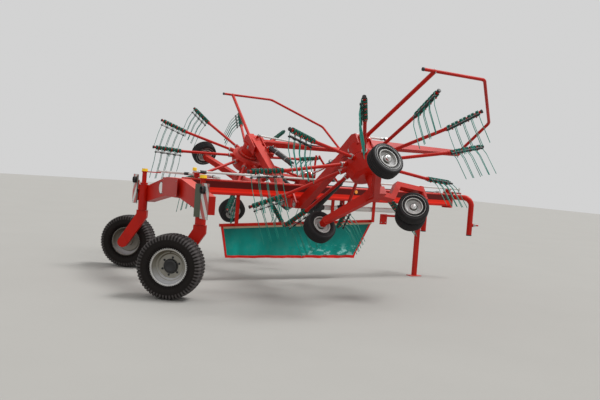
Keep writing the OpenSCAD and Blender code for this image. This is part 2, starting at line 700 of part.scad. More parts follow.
// Chassis under the rotor with the fixed wheels' axles and the caster's pivot
front_arm_w = 92;
front_arm_h = 84;
front_arm_n = -180;
front_rise = 330;
caster_low = -300;
caster_tube_h = 180;
caster_pin_r = 25;
stay_r = 28;
module chassis(side) {
    hub_n = -axle_drop + 60;
    color(red) rotor_place(side) difference() {
        union() {
            translate([0, 0, hub_n - 20]) cylinder(h = head_low - hub_n + 20, r = column_r);
            block(0, 0, hub_n - 60, 220, 220, 120);
            for (x = [-1, 1]) {
                tapered_bar([0, 0, hub_n], [x * (axle_side - 150), -axle_back, -axle_drop + 10], 84, 140, 92);
                translate([x * (axle_side - 190), -axle_back, -axle_drop]) rotate([0, x * 90, 0]) cylinder(h = 90, r = 55);
                translate([x * (axle_side - 110), -axle_back, -axle_drop]) rotate([0, x * 90, 0]) cylinder(h = 190, r = axle_r);
            }
            rotate([0, 0, atan2(caster_ahead, caster_side)]) translate([0, front_arm_w / 2, 0]) rotate([90, 0, 0])
                linear_extrude(front_arm_w)
                kinked([[40, hub_n], [front_rise, hub_n - 12], [front_rise + 235, front_arm_n],
                        [norm([caster_side, caster_ahead]), front_arm_n]], front_arm_h);
            translate([caster_side, caster_ahead, caster_low]) cylinder(h = caster_tube_h, r = caster_pin_r + 25);
        }
        translate([caster_side, caster_ahead, caster_low - 1]) cylinder(h = caster_tube_h + 2, r = caster_pin_r + fit);
    }
}
module guard(side) {
    start = seat_v + fit;
    color(pink) rotor_place(side) {
        translate([-front_beam / 2, 0, guard_up]) rotate([90, 0, 90]) linear_extrude(front_beam)
            polygon([[start, -front_beam_h / 2], [start, front_beam_h / 2], [guard_front + 40, front_beam / 2 - 6],
                     [guard_front + 40, -front_beam / 2 + 16]]);
        translate([-front_beam, start, guard_up - front_beam_h / 2 - 6]) cube([2 * front_beam, 14, front_beam_h + 12]);
        translate([seat_u + fit, -50, guard_up - 70]) cube([16, 100, 100]);
        bent_tube([[0, guard_front, guard_up], [guard_bend_x, guard_front - 40, guard_up],
                   [guard_side, guard_bend_y, guard_up], [guard_side, -50, guard_up]], guard_r, 120);
        rod([seat_u + 8, 0, guard_up - 20], [guard_side, 150, guard_up], stay_r);
    }
}

// Turning drum with the sockets of the tine arms
arm_step = 360 / arm_count;
function phase(side) = side > 0 ? phase_right : phase_left;
drum_low = 150;
drum_top = 150;
socket_len = 120;
arm_droop = atan2(arm_up, carrier_in - socket_r);
// Axis of an arm from its socket on, which droops to the carrier
module arm_axis() {
    translate([socket_r, 0, arm_up]) rotate([0, 90 + arm_droop, 0]) children();
}
module drum(side) {
    color(red) rotor_place(side) difference() {
        union() {
            rotate_extrude() polygon([[0, -drum_low], [drum_r * 0.58, -drum_low], [drum_r * 0.82, 34 - drum_low],
                                      [drum_r - 14, arm_up - 90], [drum_r, arm_up - 45], [drum_r, arm_up + 42],
                                      [drum_r - 40, drum_top - 8], [drum_r - 60, drum_top], [0, drum_top]]);
            for (i = [0 : arm_count - 1]) rotate([0, 0, phase(side) + i * arm_step])
                arm_axis() translate([0, 0, -socket_len]) cylinder(h = socket_len, r = arm_r + 14);
        }
        translate([0, 0, -drum_low - 1]) cylinder(h = drum_top + drum_low + 2, r = column_r + fit);
    }
}
module arms(side) {
    color(red) rotor_place(side) for (i = [0 : arm_count - 1])
        rotate([0, 0, phase(side) + i * arm_step]) {
            arm_axis() cylinder(h = (carrier_in - socket_r) / cos(arm_droop), r = arm_r);
            translate([carrier_in - 20, 0, 0]) rotate([0, 90, 0]) {
                cylinder(h = 34, r = arm_r + 5);
                cylinder(h = rotor_r - carrier_in + 20, r = carrier_r);
            }
        }
}
tine_pitch = 115;
tine_half = tine_pitch / 4;
tine_first = carrier_in + 70;
coil_w = 40;
coil_r = carrier_r + tine_d / 2 + 1.5;
strap_drop = 78;
// Two coils round the carrier, each with a leg that leans back and then drops
module twin_tine() {
    foot = [-coil_r * cos(tine_lean), coil_r * sin(tine_lean)];
    knee = foot - tine_upper * [sin(tine_lean), cos(tine_lean)];
    tip = [knee[0] - (tine_depth + knee[1]) * tan(tip_lean), -tine_depth];
    for (s = [-1, 1]) {
        leg_x = s * (tine_half + coil_w / 2 - tine_d / 2 - 0.5);
        translate([s * tine_half, 0, 0]) rotate([0, 90, 0]) difference() {
            cylinder(h = coil_w, r = carrier_r + tine_d, center = true);
            cylinder(h = coil_w + 2, r = carrier_r + fit, center = true);
        }
        rod([leg_x, foot[0], foot[1]], [leg_x, knee[0], knee[1]], tine_d / 2, $fn = 6);
        rod([leg_x, knee[0], knee[1] + 2], [leg_x, tip[0], tip[1]], tine_d / 2, $fn = 6);
    }
}
module tines(side) {
    color(green) rotor_place(side) for (i = [0 : arm_count - 1])
        rotate([0, 0, phase(side) + i * arm_step]) {
            for (k = [0 : twin_count - 1]) translate([tine_first + k * tine_pitch, 0, 0]) twin_tine();
            translate([tine_first - tine_pitch / 2 + 8, 0, 0]) rotate([-tine_lean, 0, 0])
                translate([0, -coil_r - 7, -strap_drop - 7]) cube([twin_count * tine_pitch - 16, 14, 14]);
        }
}

// Lift cylinder between the boom and the beam
function boom_point(u, n) = [boom_x + u * cos(lift_deg) - n * sin(lift_deg), boom_z + u * sin(lift_deg) + n * cos(lift_deg)];
cyl_eye = boom_point(cyl_eye_u, cyl_eye_n);
cyl_vec = [cyl_anchor_x, cyl_anchor_z] - cyl_eye;
cyl_len = norm(cyl_vec);
cyl_dir = atan2(cyl_vec[1], cyl_vec[0]);
barrel_len = 0.655 * cyl_len;
rod_len = 0.64 * cyl_len;
// Frame of a cylinder: its origin is on the boom's eye, with +X towards the beam
module cyl_place(side) {
    footprint() on_side(side) translate([cyl_eye[0], rotor_y + cyl_v(side), cyl_eye[1]]) rotate([0, -cyl_dir, 0]) children();
}
module lift_barrel(side) {
    color(dark) cyl_place(side) difference() {
        union() {
            rotate([90, 0, 0]) cylinder(h = 76, r = 32, center = true);
            rotate([90, 0, 0]) cylinder(h = 110, r = 15, center = true);
            rotate([0, 90, 0]) cylinder(h = barrel_len, r = 40);
        }
        translate([60, 0, 0]) rotate([0, 90, 0]) cylinder(h = barrel_len, r = 21 + fit);
    }
}
module lift_rod(side) {
    color(silver) cyl_place(side) {
        translate([cyl_len - rod_len, 0, 0]) rotate([0, 90, 0]) cylinder(h = rod_len, r = 21);
        translate([cyl_len, 0, 0]) rotate([90, 0, 0]) cylinder(h = 2 * cyl_shift - anchor_t - 2 * clear, r = 30, center = true);
    }
}
// Telescopic drive shaft from the gearbox to the rotor head
ball_r = 24;
shaft_v = 150;
shaft_drop = 150;
shaft_a = [gear_w / 2 + 40, gear_y, gear_z];
shaft_end = boom_point(boom_len - 215, -shaft_drop);
shaft_b = [shaft_end[0], rotor_y + shaft_v, shaft_end[1]];
shaft_len = norm(shaft_b - shaft_a);
shaft_half = 0.56 * shaft_len;
bell_h = 70;
module shaft_frame(side) {
    d = shaft_b - shaft_a;
    footprint() on_side(side) translate(shaft_a) rotate([0, acos(d[2] / shaft_len), atan2(d[1], d[0])]) children();
}
module shaft_inner(side) {
    color(black) shaft_frame(side) difference() {
        union() {
            cylinder(h = 80, r = 14);
            translate([0, 0, 60]) cylinder(h = shaft_half - 60, r = 42);
        }
        sphere(r = ball_r + fit);
        translate([0, 0, 140]) cylinder(h = shaft_half, r = 32 + fit);
    }
}
module shaft_outer(side) {
    color(black) shaft_frame(side) {
        translate([0, 0, shaft_len - shaft_half]) cylinder(h = shaft_half, r = 32);
        translate([0, 0, shaft_len - bell_h]) cylinder(h = bell_h, r1 = 34, r2 = 46);
    }
}

module small_wheel() {
    color(black) turned(tyre_profile(small_r, small_w, small_rim_r + fit));
    color(silver) turned([[-0.36 * small_w, small_rim_r], [-0.36 * small_w, small_rim_r - 8], [-10, small_rim_r - 20],
                          [-10, 45], [-50, 45], [-50, axle_r + fit], [50, axle_r + fit], [50, 45], [10, 45],
                          [10, small_rim_r - 20], [0.36 * small_w, small_rim_r - 8], [0.36 * small_w, small_rim_r]]);
}
module wheel_outer(side) {
    rotor_place(side) translate([axle_side, -axle_back, -axle_drop]) small_wheel();
}
module wheel_inner(side) {
    rotor_place(side) translate([-axle_side, -axle_back, -axle_drop]) small_wheel();
}
module caster_place(side) {
    rotor_place(side) translate([caster_side, caster_ahead, 0]) rotate([0, 0, -caster_deg]) children();
}
module caster_fork(side) {
    color(red) caster_place(side) {
        translate([0, 0, caster_low - 40]) cylinder(h = caster_tube_h + 60, r = caster_pin_r);
        translate([0, 0, caster_low - 45]) cylinder(h = 40, r = caster_pin_r + 25);
        bar([0, 0, caster_low - 30], [0, -caster_trail, -axle_drop], 36, 50);
        translate([-twin_gap / 2 - 60, -caster_trail, -axle_drop]) rotate([0, 90, 0]) cylinder(h = twin_gap + 120, r = axle_r);
    }
}
module caster_wheels(side) {
    caster_place(side) translate([0, -caster_trail, -axle_drop])
        for (x = [-1, 1]) translate([x * twin_gap / 2, 0, 0]) small_wheel();
}

main_beam();
rear_arch();
rear_plates();
warning_boards();
rear_lamps();
curtain();
curtain_frame();
gearbox();
pto_line();
headstock();
stand();
steer_leg(1);  // steer_leg_right
steer_leg(-1);  // steer_leg_left
tyre(1);  // tyre_right
tyre(-1);  // tyre_left
rim(1);  // rim_right
rim(-1);  // rim_left
relay_lever();
idler_lever();
tie_rod(1);  // tie_rod_right
tie_rod(-1);  // tie_rod_left
drag_link_rear();
drag_link_front();
boom(1);  // boom_right
boom(-1);  // boom_left
chassis(1);  // chassis_right
chassis(-1);  // chassis_left
guard(1);  // guard_right
guard(-1);  // guard_left
drum(1);  // drum_right
drum(-1);  // drum_left
arms(1);  // arms_right
arms(-1);  // arms_left
tines(1);  // tines_right
tines(-1);  // tines_left
lift_barrel(1);  // lift_barrel_right
lift_barrel(-1);  // lift_barrel_left
lift_rod(1);  // lift_rod_right
lift_rod(-1);  // lift_rod_left
shaft_inner(1);  // shaft_inner_right
shaft_inner(-1);  // shaft_inner_left
shaft_outer(1);  // shaft_outer_right
shaft_outer(-1);  // shaft_outer_left
wheel_outer(1);  // wheel_outer_right
wheel_outer(-1);  // wheel_outer_left
wheel_inner(1);  // wheel_inner_right
wheel_inner(-1);  // wheel_inner_left
caster_fork(1);  // caster_fork_right
caster_fork(-1);  // caster_fork_left
caster_wheels(1);  // caster_wheels_right
caster_wheels(-1);  // caster_wheels_left
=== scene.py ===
import json
import math
import random

import bpy
from mathutils import Matrix, Vector


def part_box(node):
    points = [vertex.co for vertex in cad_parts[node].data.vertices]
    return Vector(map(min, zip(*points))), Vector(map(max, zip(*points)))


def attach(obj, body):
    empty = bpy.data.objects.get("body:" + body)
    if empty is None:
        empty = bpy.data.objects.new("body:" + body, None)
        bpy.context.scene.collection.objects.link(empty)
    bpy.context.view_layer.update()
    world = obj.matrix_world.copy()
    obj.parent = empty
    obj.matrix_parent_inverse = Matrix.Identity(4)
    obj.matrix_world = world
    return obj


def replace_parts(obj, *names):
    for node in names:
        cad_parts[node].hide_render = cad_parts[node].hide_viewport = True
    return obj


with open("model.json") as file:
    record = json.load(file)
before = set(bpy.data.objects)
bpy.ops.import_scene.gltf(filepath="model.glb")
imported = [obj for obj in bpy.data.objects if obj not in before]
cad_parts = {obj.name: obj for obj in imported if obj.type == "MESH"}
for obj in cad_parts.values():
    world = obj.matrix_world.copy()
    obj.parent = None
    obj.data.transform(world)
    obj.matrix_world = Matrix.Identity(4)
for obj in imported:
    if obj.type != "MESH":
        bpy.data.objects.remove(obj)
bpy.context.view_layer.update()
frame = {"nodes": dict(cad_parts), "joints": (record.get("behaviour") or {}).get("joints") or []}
nodes = frame["nodes"]
joints = {joint["name"]: joint for joint in frame["joints"]}
sides = {"right": 1, "left": -1}
kingpinLine = Vector((joints["relay_turn"]["pos_m"][0], joints["steer_right"]["pos_m"][1], 0.0))
print("frame loaded")


class Wire:
    # a node's output socket that takes part in plain arithmetic
    def __init__(self, finish, socket):
        self.finish = finish
        self.socket = socket

    def maths(self, operation, *values):
        return self.finish.node("ShaderNodeMath", {"operation": operation}, dict(enumerate(values)))

    def __add__(self, other):
        return self.maths("ADD", self, other)

    def __radd__(self, other):
        return self.maths("ADD", other, self)

    def __sub__(self, other):
        return self.maths("SUBTRACT", self, other)

    def __rsub__(self, other):
        return self.maths("SUBTRACT", other, self)

    def __mul__(self, other):
        return self.maths("MULTIPLY", self, other)

    def __rmul__(self, other):
        return self.maths("MULTIPLY", other, self)

    def __truediv__(self, other):
        return self.maths("DIVIDE", self, other)

    def __rtruediv__(self, other):
        return self.maths("DIVIDE", other, self)

    def __pow__(self, other):
        return self.maths("POWER", self, other)

    def __rpow__(self, other):
        return self.maths("POWER", other, self)

    def __gt__(self, other):
        return self.maths("GREATER_THAN", self, other)

    def __lt__(self, other):
        return self.maths("LESS_THAN", self, other)

    def clamped(self):
        return self.finish.node("ShaderNodeClamp", {}, {0: self, 1: 0.0, 2: 1.0})

    def rise(self, low, high):
        # 0 below low, 1 above high
        return ((self - low) / (high - low)).clamped()


class Finish:
    # one procedural material, put together node by node
    def __init__(self, name):
        self.material = bpy.data.materials.new(name)
        self.material.use_nodes = True
        self.tree = self.material.node_tree
        self.shader = self.tree.nodes["Principled BSDF"]
        self.place = self.node("ShaderNodeTexCoord", out="Object")

    def node(self, kind, settings={}, values={}, out=0):
        made = self.tree.nodes.new(kind)
        for key, value in settings.items():
            setattr(made, key, value)
        for key, value in values.items():
            if isinstance(value, Wire):
                self.tree.links.new(value.socket, made.inputs[key])
            else:
                made.inputs[key].default_value = value
        return Wire(self, made.outputs[out])

    def noise(self, scale, detail=3.0, rough=0.55, vector=None):
        return self.node("ShaderNodeTexNoise", {}, {"Vector": vector or self.place, "Scale": scale,
                                                    "Detail": detail, "Roughness": rough})

    def cells(self, scale, feature="F1"):
        return self.node("ShaderNodeTexVoronoi", {"feature": feature}, {"Vector": self.place, "Scale": scale},
                         out="Distance")

    def stretched(self, scale):
        # the object's own coordinates, scaled along each axis
        return self.node("ShaderNodeVectorMath", {"operation": "MULTIPLY"}, {0: self.place, 1: scale})

    def axis(self, name):
        return self.node("ShaderNodeSeparateXYZ", {}, {0: self.place}, out=name)

    def facingUp(self):
        normal = self.node("ShaderNodeNewGeometry", out="Normal")
        return self.node("ShaderNodeSeparateXYZ", {}, {0: normal}, out="Z").clamped()

    def mix(self, factor, first, second):
        colours = [(*c, 1.0) if isinstance(c, tuple) else c for c in (first, second)]
        return self.node("ShaderNodeMix", {"data_type": "RGBA"}, {0: factor, 6: colours[0], 7: colours[1]},
                         out=2)

    def set(self, **sockets):
        for name, value in sockets.items():
            socket = self.shader.inputs[{"baseColor": "Base Color", "roughness": "Roughness",
                                         "metallic": "Metallic", "coat": "Coat Weight",
                                         "coatRoughness": "Coat Roughness", "specular": "Specular IOR Level",
                                         "emission": "Emission Strength", "glow": "Emission Color"}[name]]
            if isinstance(value, Wire):
                self.tree.links.new(value.socket, socket)
            else:
                socket.default_value = (*value, 1.0) if isinstance(value, tuple) else value

    def bump(self, height, strength, distance):
        made = self.node("ShaderNodeBump", {}, {"Strength": strength, "Distance": distance, "Height": height})
        self.tree.links.new(made.socket, self.shader.inputs["Normal"])


hayDust = (0.42, 0.36, 0.24)


def enamel(name, colour, shade, rough=0.38, dust=0.12, paintedTopLight=None, litAndShadedBands=None):
    # sprayed paint: faint orange peel, tone drift, dust that settles on top, and where asked a painted
    # highlight that makes top faces lighter
    finish = Finish(name)
    drift = finish.noise(2.3, 3.0).rise(0.35, 0.7)
    film = finish.mix(drift, colour, shade)
    # painted highlight: faces that look up turn lighter, as where light falls on them
    if paintedTopLight:
        film = finish.mix(finish.facingUp() ** 3 * 0.62, film, paintedTopLight)
    if litAndShadedBands:
        # painted light and shade along the beam's sides: a bright low band of painted light under a dark band
        # of painted shade
        sidePlane, split, top, low, high = litAndShadedBands
        spot = finish.node("ShaderNodeNewGeometry", out="Position")
        x, z = (finish.node("ShaderNodeSeparateXYZ", {}, {0: spot}, out=axis) for axis in ("X", "Z"))
        reach = (x * x) ** 0.5
        side = (reach > sidePlane - 0.025) * (reach < sidePlane + 0.001)
        film = finish.mix(side, film, finish.mix(z.rise(split - 0.003, split + 0.003), low,
                                                 finish.mix(z > top, high, film)))
    specks = finish.noise(55.0, 5.0, 0.7).rise(0.5, 0.72)
    patches = finish.noise(4.0, 5.0, 0.65).rise(0.42, 0.72)
    settled = (patches * specks * (finish.facingUp() * 0.8 + 0.25) * dust).clamped()
    chips = finish.cells(21.0).rise(0.06, 0.045) * finish.noise(3.1, 2.0).rise(0.58, 0.62)
    finish.set(baseColor=finish.mix(chips * 0.7, finish.mix(settled, film, hayDust), (0.16, 0.13, 0.12)),
               roughness=settled * 0.45 + drift * 0.06 + rough, coat=0.05, coatRoughness=0.25, specular=0.18)
    finish.bump(finish.noise(60.0, 2.0) * 0.3 + settled - chips, 0.04, 0.001)
    return finish.material


def bareMetal(name, colour, rough=0.32, brushed=(1.0, 1.0, 1.0), stain=0.3):
    finish = Finish(name)
    grain = finish.noise(90.0, 4.0, 0.6, finish.stretched(brushed))
    spots = finish.noise(7.0, 5.0, 0.65).rise(0.5, 0.75)
    film = finish.mix(grain * 0.35, colour, tuple(c * 0.72 for c in colour))
    finish.set(baseColor=finish.mix(spots * stain, film, (0.30, 0.26, 0.20)), metallic=1.0 - spots * 0.4,
               roughness=grain * 0.14 + spots * 0.25 + rough)
    finish.bump(grain, 0.08, 0.001)
    return finish.material


def rubber(name, dust=0.3, rough=0.72):
    finish = Finish(name)
    patches = finish.noise(6.0, 5.0, 0.65).rise(0.4, 0.75)
    grain = finish.noise(160.0, 4.0, 0.7)
    finish.set(baseColor=finish.mix((patches * (grain * 0.6 + 0.4) * dust).clamped(),
                                    finish.mix(grain * 0.6, (0.009, 0.0085, 0.009), (0.020, 0.019, 0.019)),
                                    (0.07, 0.058, 0.045)),
               roughness=patches * 0.1 + rough, specular=0.4)
    finish.bump(grain, 0.25, 0.0015)
    return finish.material


def rimPaintWithPaintedShade(name, low, middle, high, rough=0.34):
    # silver lacquer of a dished rim, with painted shade on what looks down, painted light on what looks up,
    # and grime at random
    finish = Finish(name)
    normal = finish.node("ShaderNodeNewGeometry", out="Normal")
    lie = finish.node("ShaderNodeSeparateXYZ", {}, {0: normal}, out="Z")
    # painted shade and light by where the face looks: the low colour downwards, the high colour upwards
    film = finish.mix(lie.rise(-0.75, -0.05), low, finish.mix(lie.rise(0.05, 0.8), middle, high))
    grime = finish.noise(14.0, 4.0, 0.65).rise(0.45, 0.75)
    finish.set(baseColor=finish.mix(grime * 0.22, film, (0.12, 0.10, 0.07)), roughness=grime * 0.15 + rough,
               coat=0.2, coatRoughness=0.2)
    finish.bump(finish.noise(70.0, 2.0), 0.04, 0.001)
    return finish.material


def tyreRubber(name, walls, sheenAndWearReach, sheenAndWearColour, dust=0.08, rough=0.6, lugs=None):
    # ringed walls, and a tread whose lugs are lighter grey on top, partly wear and partly painted sheen; the
    # wheel's axle is its X axis
    finish = Finish(name)
    y, z = finish.axis("Y"), finish.axis("Z")
    reach = (y * y + z * z) ** 0.5
    top = reach.rise(*sheenAndWearReach)
    if lugs:
        count, low, high = lugs
        turn = y.maths("ARCTAN2", z, y) * count
        blocks = turn.maths("SINE", turn).rise(-0.25, 0.15)
        sheenAndWearPatches = finish.noise(9.0).rise(0.3, 0.6) * 0.5 + 0.5
        top = (top * 0.5 + blocks * reach.rise(low, high) * sheenAndWearPatches).clamped()
    grain = finish.noise(160.0, 4.0, 0.7)
    patches = finish.noise(6.0, 5.0, 0.65).rise(0.45, 0.75)
    rings = (reach * 300.0).maths("SINE", reach * 300.0) * (1.0 - top)
    # the tops take the lighter grey: wear together with a painted sheen
    film = finish.mix(top, finish.mix(grain * 0.5, walls, tuple(c * 1.7 for c in walls)), sheenAndWearColour)
    finish.set(baseColor=finish.mix((patches * dust).clamped(), film, (0.07, 0.056, 0.042)),
               roughness=patches * 0.1 + grain * 0.1 + rough, specular=0.18)
    finish.bump(grain * 0.4 + rings * 0.8 + top * 2.0, 0.4, 0.002)
    return finish.material


def moulded(name, colour, rough=0.5):
    finish = Finish(name)
    grain = finish.noise(220.0, 3.0, 0.6)
    dusty = finish.noise(9.0, 5.0, 0.7).rise(0.5, 0.8) * (finish.facingUp() * 0.6 + 0.2)
    film = finish.mix(grain * 0.3, colour, tuple(c * 1.2 + 0.003 for c in colour))
    finish.set(baseColor=finish.mix(dusty * 0.12, film, hayDust), roughness=grain * 0.1 + dusty * 0.2 + rough)
    finish.bump(grain, 0.12, 0.0008)
    return finish.material


def tarpCloth(name, colour, shade, paintedGlint=None):
    # coated weave of the curtain
    finish = Finish(name)
    threads = [finish.node("ShaderNodeTexWave", {"bands_direction": band, "wave_type": "BANDS"},
                           {"Vector": finish.place, "Scale": 160.0, "Distortion": 0.4})
               for band in ("Y", "Z")]
    weave = threads[0] * threads[1]
    stain = finish.noise(3.0, 5.0, 0.65).rise(0.5, 0.8)
    y, z = finish.axis("Y"), finish.axis("Z")
    # painted shade: the cloth turns darker towards the top, with tone that also differs at random
    film = finish.mix((z.rise(0.5, 0.9) * 0.75 + finish.noise(1.4, 3.0).rise(0.35, 0.7) * 0.4).clamped(),
                      finish.mix(stain * 0.12, colour, hayDust), shade)
    if paintedGlint:
        # painted glints on the wrinkles where the cloth turns under
        folds = finish.noise(9.0, 3.0, 0.6, finish.stretched((1.0, 0.7, 1.3))).rise(0.53, 0.63)
        film = finish.mix((folds * z.rise(0.62, 0.46) * y.rise(-0.5, -0.1) * 0.75).clamped(), film, paintedGlint)
    finish.set(baseColor=film, roughness=weave * 0.08 + stain * 0.15 + 0.34, specular=0.2)
    finish.bump(weave * 0.5 + finish.noise(18.0, 4.0) * 0.6, 0.3, 0.003)
    return finish.material


def boardStripes(name, across, slope, pitch, flip):
    # slanting red and white stripes of reflective film
    finish = Finish(name)
    along = (finish.axis("Z") + finish.axis(across) * (slope * flip)) / pitch
    phase = along.maths("FRACT", along)
    red = (phase > 0.47).clamped()
    beads = finish.cells(900.0)
    finish.set(baseColor=finish.mix(finish.noise(14.0, 4.0).rise(0.52, 0.8) * 0.12,
                                    finish.mix(red, (0.60, 0.61, 0.59), (0.42, 0.030, 0.022)), hayDust),
               roughness=beads * 0.2 + 0.28, coat=0.3, coatRoughness=0.15)
    finish.bump(beads, 0.15, 0.0006)
    return finish.material


def lensPlastic(name, colour, glow=0.0):
    finish = Finish(name)
    prisms = finish.cells(260.0, "DISTANCE_TO_EDGE")
    ridge = tuple(min(1.0, c * 1.6 + 0.03) for c in colour)
    finish.set(baseColor=finish.mix(prisms.rise(0.0, 0.3) * 0.5, colour, ridge),
               roughness=prisms * 0.2 + 0.12, coat=0.8, coatRoughness=0.05, glow=colour, emission=glow)
    finish.bump(prisms, 0.3, 0.001)
    return finish.material


finishes = {
    "red": enamel("carmine paint", (0.50, 0.009, 0.002), (0.40, 0.006, 0.001), paintedTopLight=(0.88, 0.17, 0.14)),
    "beamRed": enamel("beam paint", (0.50, 0.009, 0.002), (0.40, 0.006, 0.001), paintedTopLight=(0.88, 0.17, 0.14),
                      litAndShadedBands=(0.100, 1.436, 1.532, (0.84, 0.018, 0.004), (0.115, 0.004, 0.003))),
    "hoopRed": enamel("hoop paint", (0.50, 0.010, 0.003), (0.40, 0.007, 0.002), paintedTopLight=(0.82, 0.12, 0.10)),
    "armRed": enamel("arm paint", (0.49, 0.009, 0.003), (0.39, 0.006, 0.002), dust=0.15,
                     paintedTopLight=(0.86, 0.14, 0.12)),
    "silver": rimPaintWithPaintedShade("silver rim paint", (0.115, 0.095, 0.060), (0.27, 0.255, 0.215), (0.62, 0.62, 0.64)),
    "rimDisc": rimPaintWithPaintedShade("rim disc paint", (0.06, 0.052, 0.038), (0.115, 0.108, 0.088), (0.28, 0.28, 0.28),
                        0.42),
    "flange": rimPaintWithPaintedShade("rim flange paint", (0.30, 0.28, 0.24), (0.52, 0.51, 0.49), (0.72, 0.72, 0.74)),
    "dish": rimPaintWithPaintedShade("small wheel dish paint", (0.10, 0.095, 0.085), (0.36, 0.355, 0.34), (0.66, 0.66, 0.66)),
    "ring": bareMetal("polished ring", (0.80, 0.80, 0.79), 0.22, (1.0, 1.0, 1.0), 0.1),
    "white": enamel("white sheet paint", (0.80, 0.80, 0.78), (0.72, 0.72, 0.70), 0.32, 0.2),
    "yellow": moulded("yellow cap plastic", (0.92, 0.60, 0.006), 0.35),
    "green": enamel("green tine paint", (0.010, 0.24, 0.185), (0.006, 0.17, 0.13), 0.34, 0.1,
                    (0.05, 0.40, 0.33)),
    "shadedCoilGreen": enamel("green coil paint in painted shade", (0.004, 0.115, 0.080), (0.002, 0.070, 0.048), 0.34, 0.1,
                        (0.01, 0.20, 0.15)),
    "cloth": tarpCloth("green curtain cloth", (0.0, 0.34, 0.285), (0.0, 0.105, 0.088), (0.42, 0.84, 0.80)),
    "hem": tarpCloth("red hem cloth", (0.72, 0.012, 0.008), (0.60, 0.008, 0.006)),
    "webbing": tarpCloth("pale webbing", (0.56, 0.46, 0.30), (0.50, 0.41, 0.27)),
    "zinc": bareMetal("zinc plated steel", (0.46, 0.46, 0.45), 0.34, (1.0, 0.2, 1.0)),
    "rod": enamel("bright zinc tube", (0.66, 0.655, 0.63), (0.56, 0.555, 0.53), 0.26, 0.15,
                  (0.80, 0.79, 0.77)),
    "chrome": bareMetal("chromed rod", (0.82, 0.82, 0.83), 0.08, (1.0, 1.0, 1.0), 0.1),
    "dark": enamel("dark grey paint", (0.030, 0.031, 0.034), (0.02, 0.021, 0.023), 0.38, 0.15),
    "greyTube": enamel("grey drive tube", (0.46, 0.455, 0.44), (0.38, 0.375, 0.36), 0.3, 0.2),
    "plastic": moulded("black plastic", (0.010, 0.010, 0.011), 0.42),
    "tyre": tyreRubber("big tyre rubber", (0.0075, 0.0055, 0.0048), (0.397, 0.409), (0.080, 0.072, 0.071),
                       lugs=(56, 0.352, 0.362)),
    "smallTyre": tyreRubber("small tyre rubber", (0.012, 0.0115, 0.012), (0.206, 0.222),
                            (0.020, 0.019, 0.020)),
    "wall": tyreRubber("small tyre wall", (0.014, 0.0135, 0.0145), (0.19, 0.20), (0.030, 0.029, 0.030),
                       0.05, 0.28),
    "hose": rubber("hose rubber", 0.15, 0.5),
    # a faint painted glow on the amber reflector, which is no lamp
    "amber": lensPlastic("amber reflector", (0.95, 0.28, 0.01), 0.15),
    "lampRed": lensPlastic("red lamp lens", (0.55, 0.01, 0.01), 0.05),
    "boardBack": enamel("grey green board back", (0.105, 0.118, 0.088), (0.08, 0.092, 0.068), 0.5, 0.3),
    "plateRed": enamel("plate paint", (0.44, 0.032, 0.026), (0.38, 0.024, 0.020), 0.4, 0.15,
                       (0.55, 0.10, 0.09)),
}
print("finishes made")


def circle(radius, count):
    return [(radius * math.cos(math.tau * k / count), radius * math.sin(math.tau * k / count))
            for k in range(count)]


def ringFaces(rings, count, capped=True):
    # faces between rings that have count points each, and one over each end
    faces = [[i * count + k, i * count + (k + 1) % count, (i + 1) * count + (k + 1) % count,
              (i + 1) * count + k] for i in range(rings - 1) for k in range(count)]
    if capped:
        faces += [list(range(count))[::-1], [(rings - 1) * count + k for k in range(count)]]
    return faces


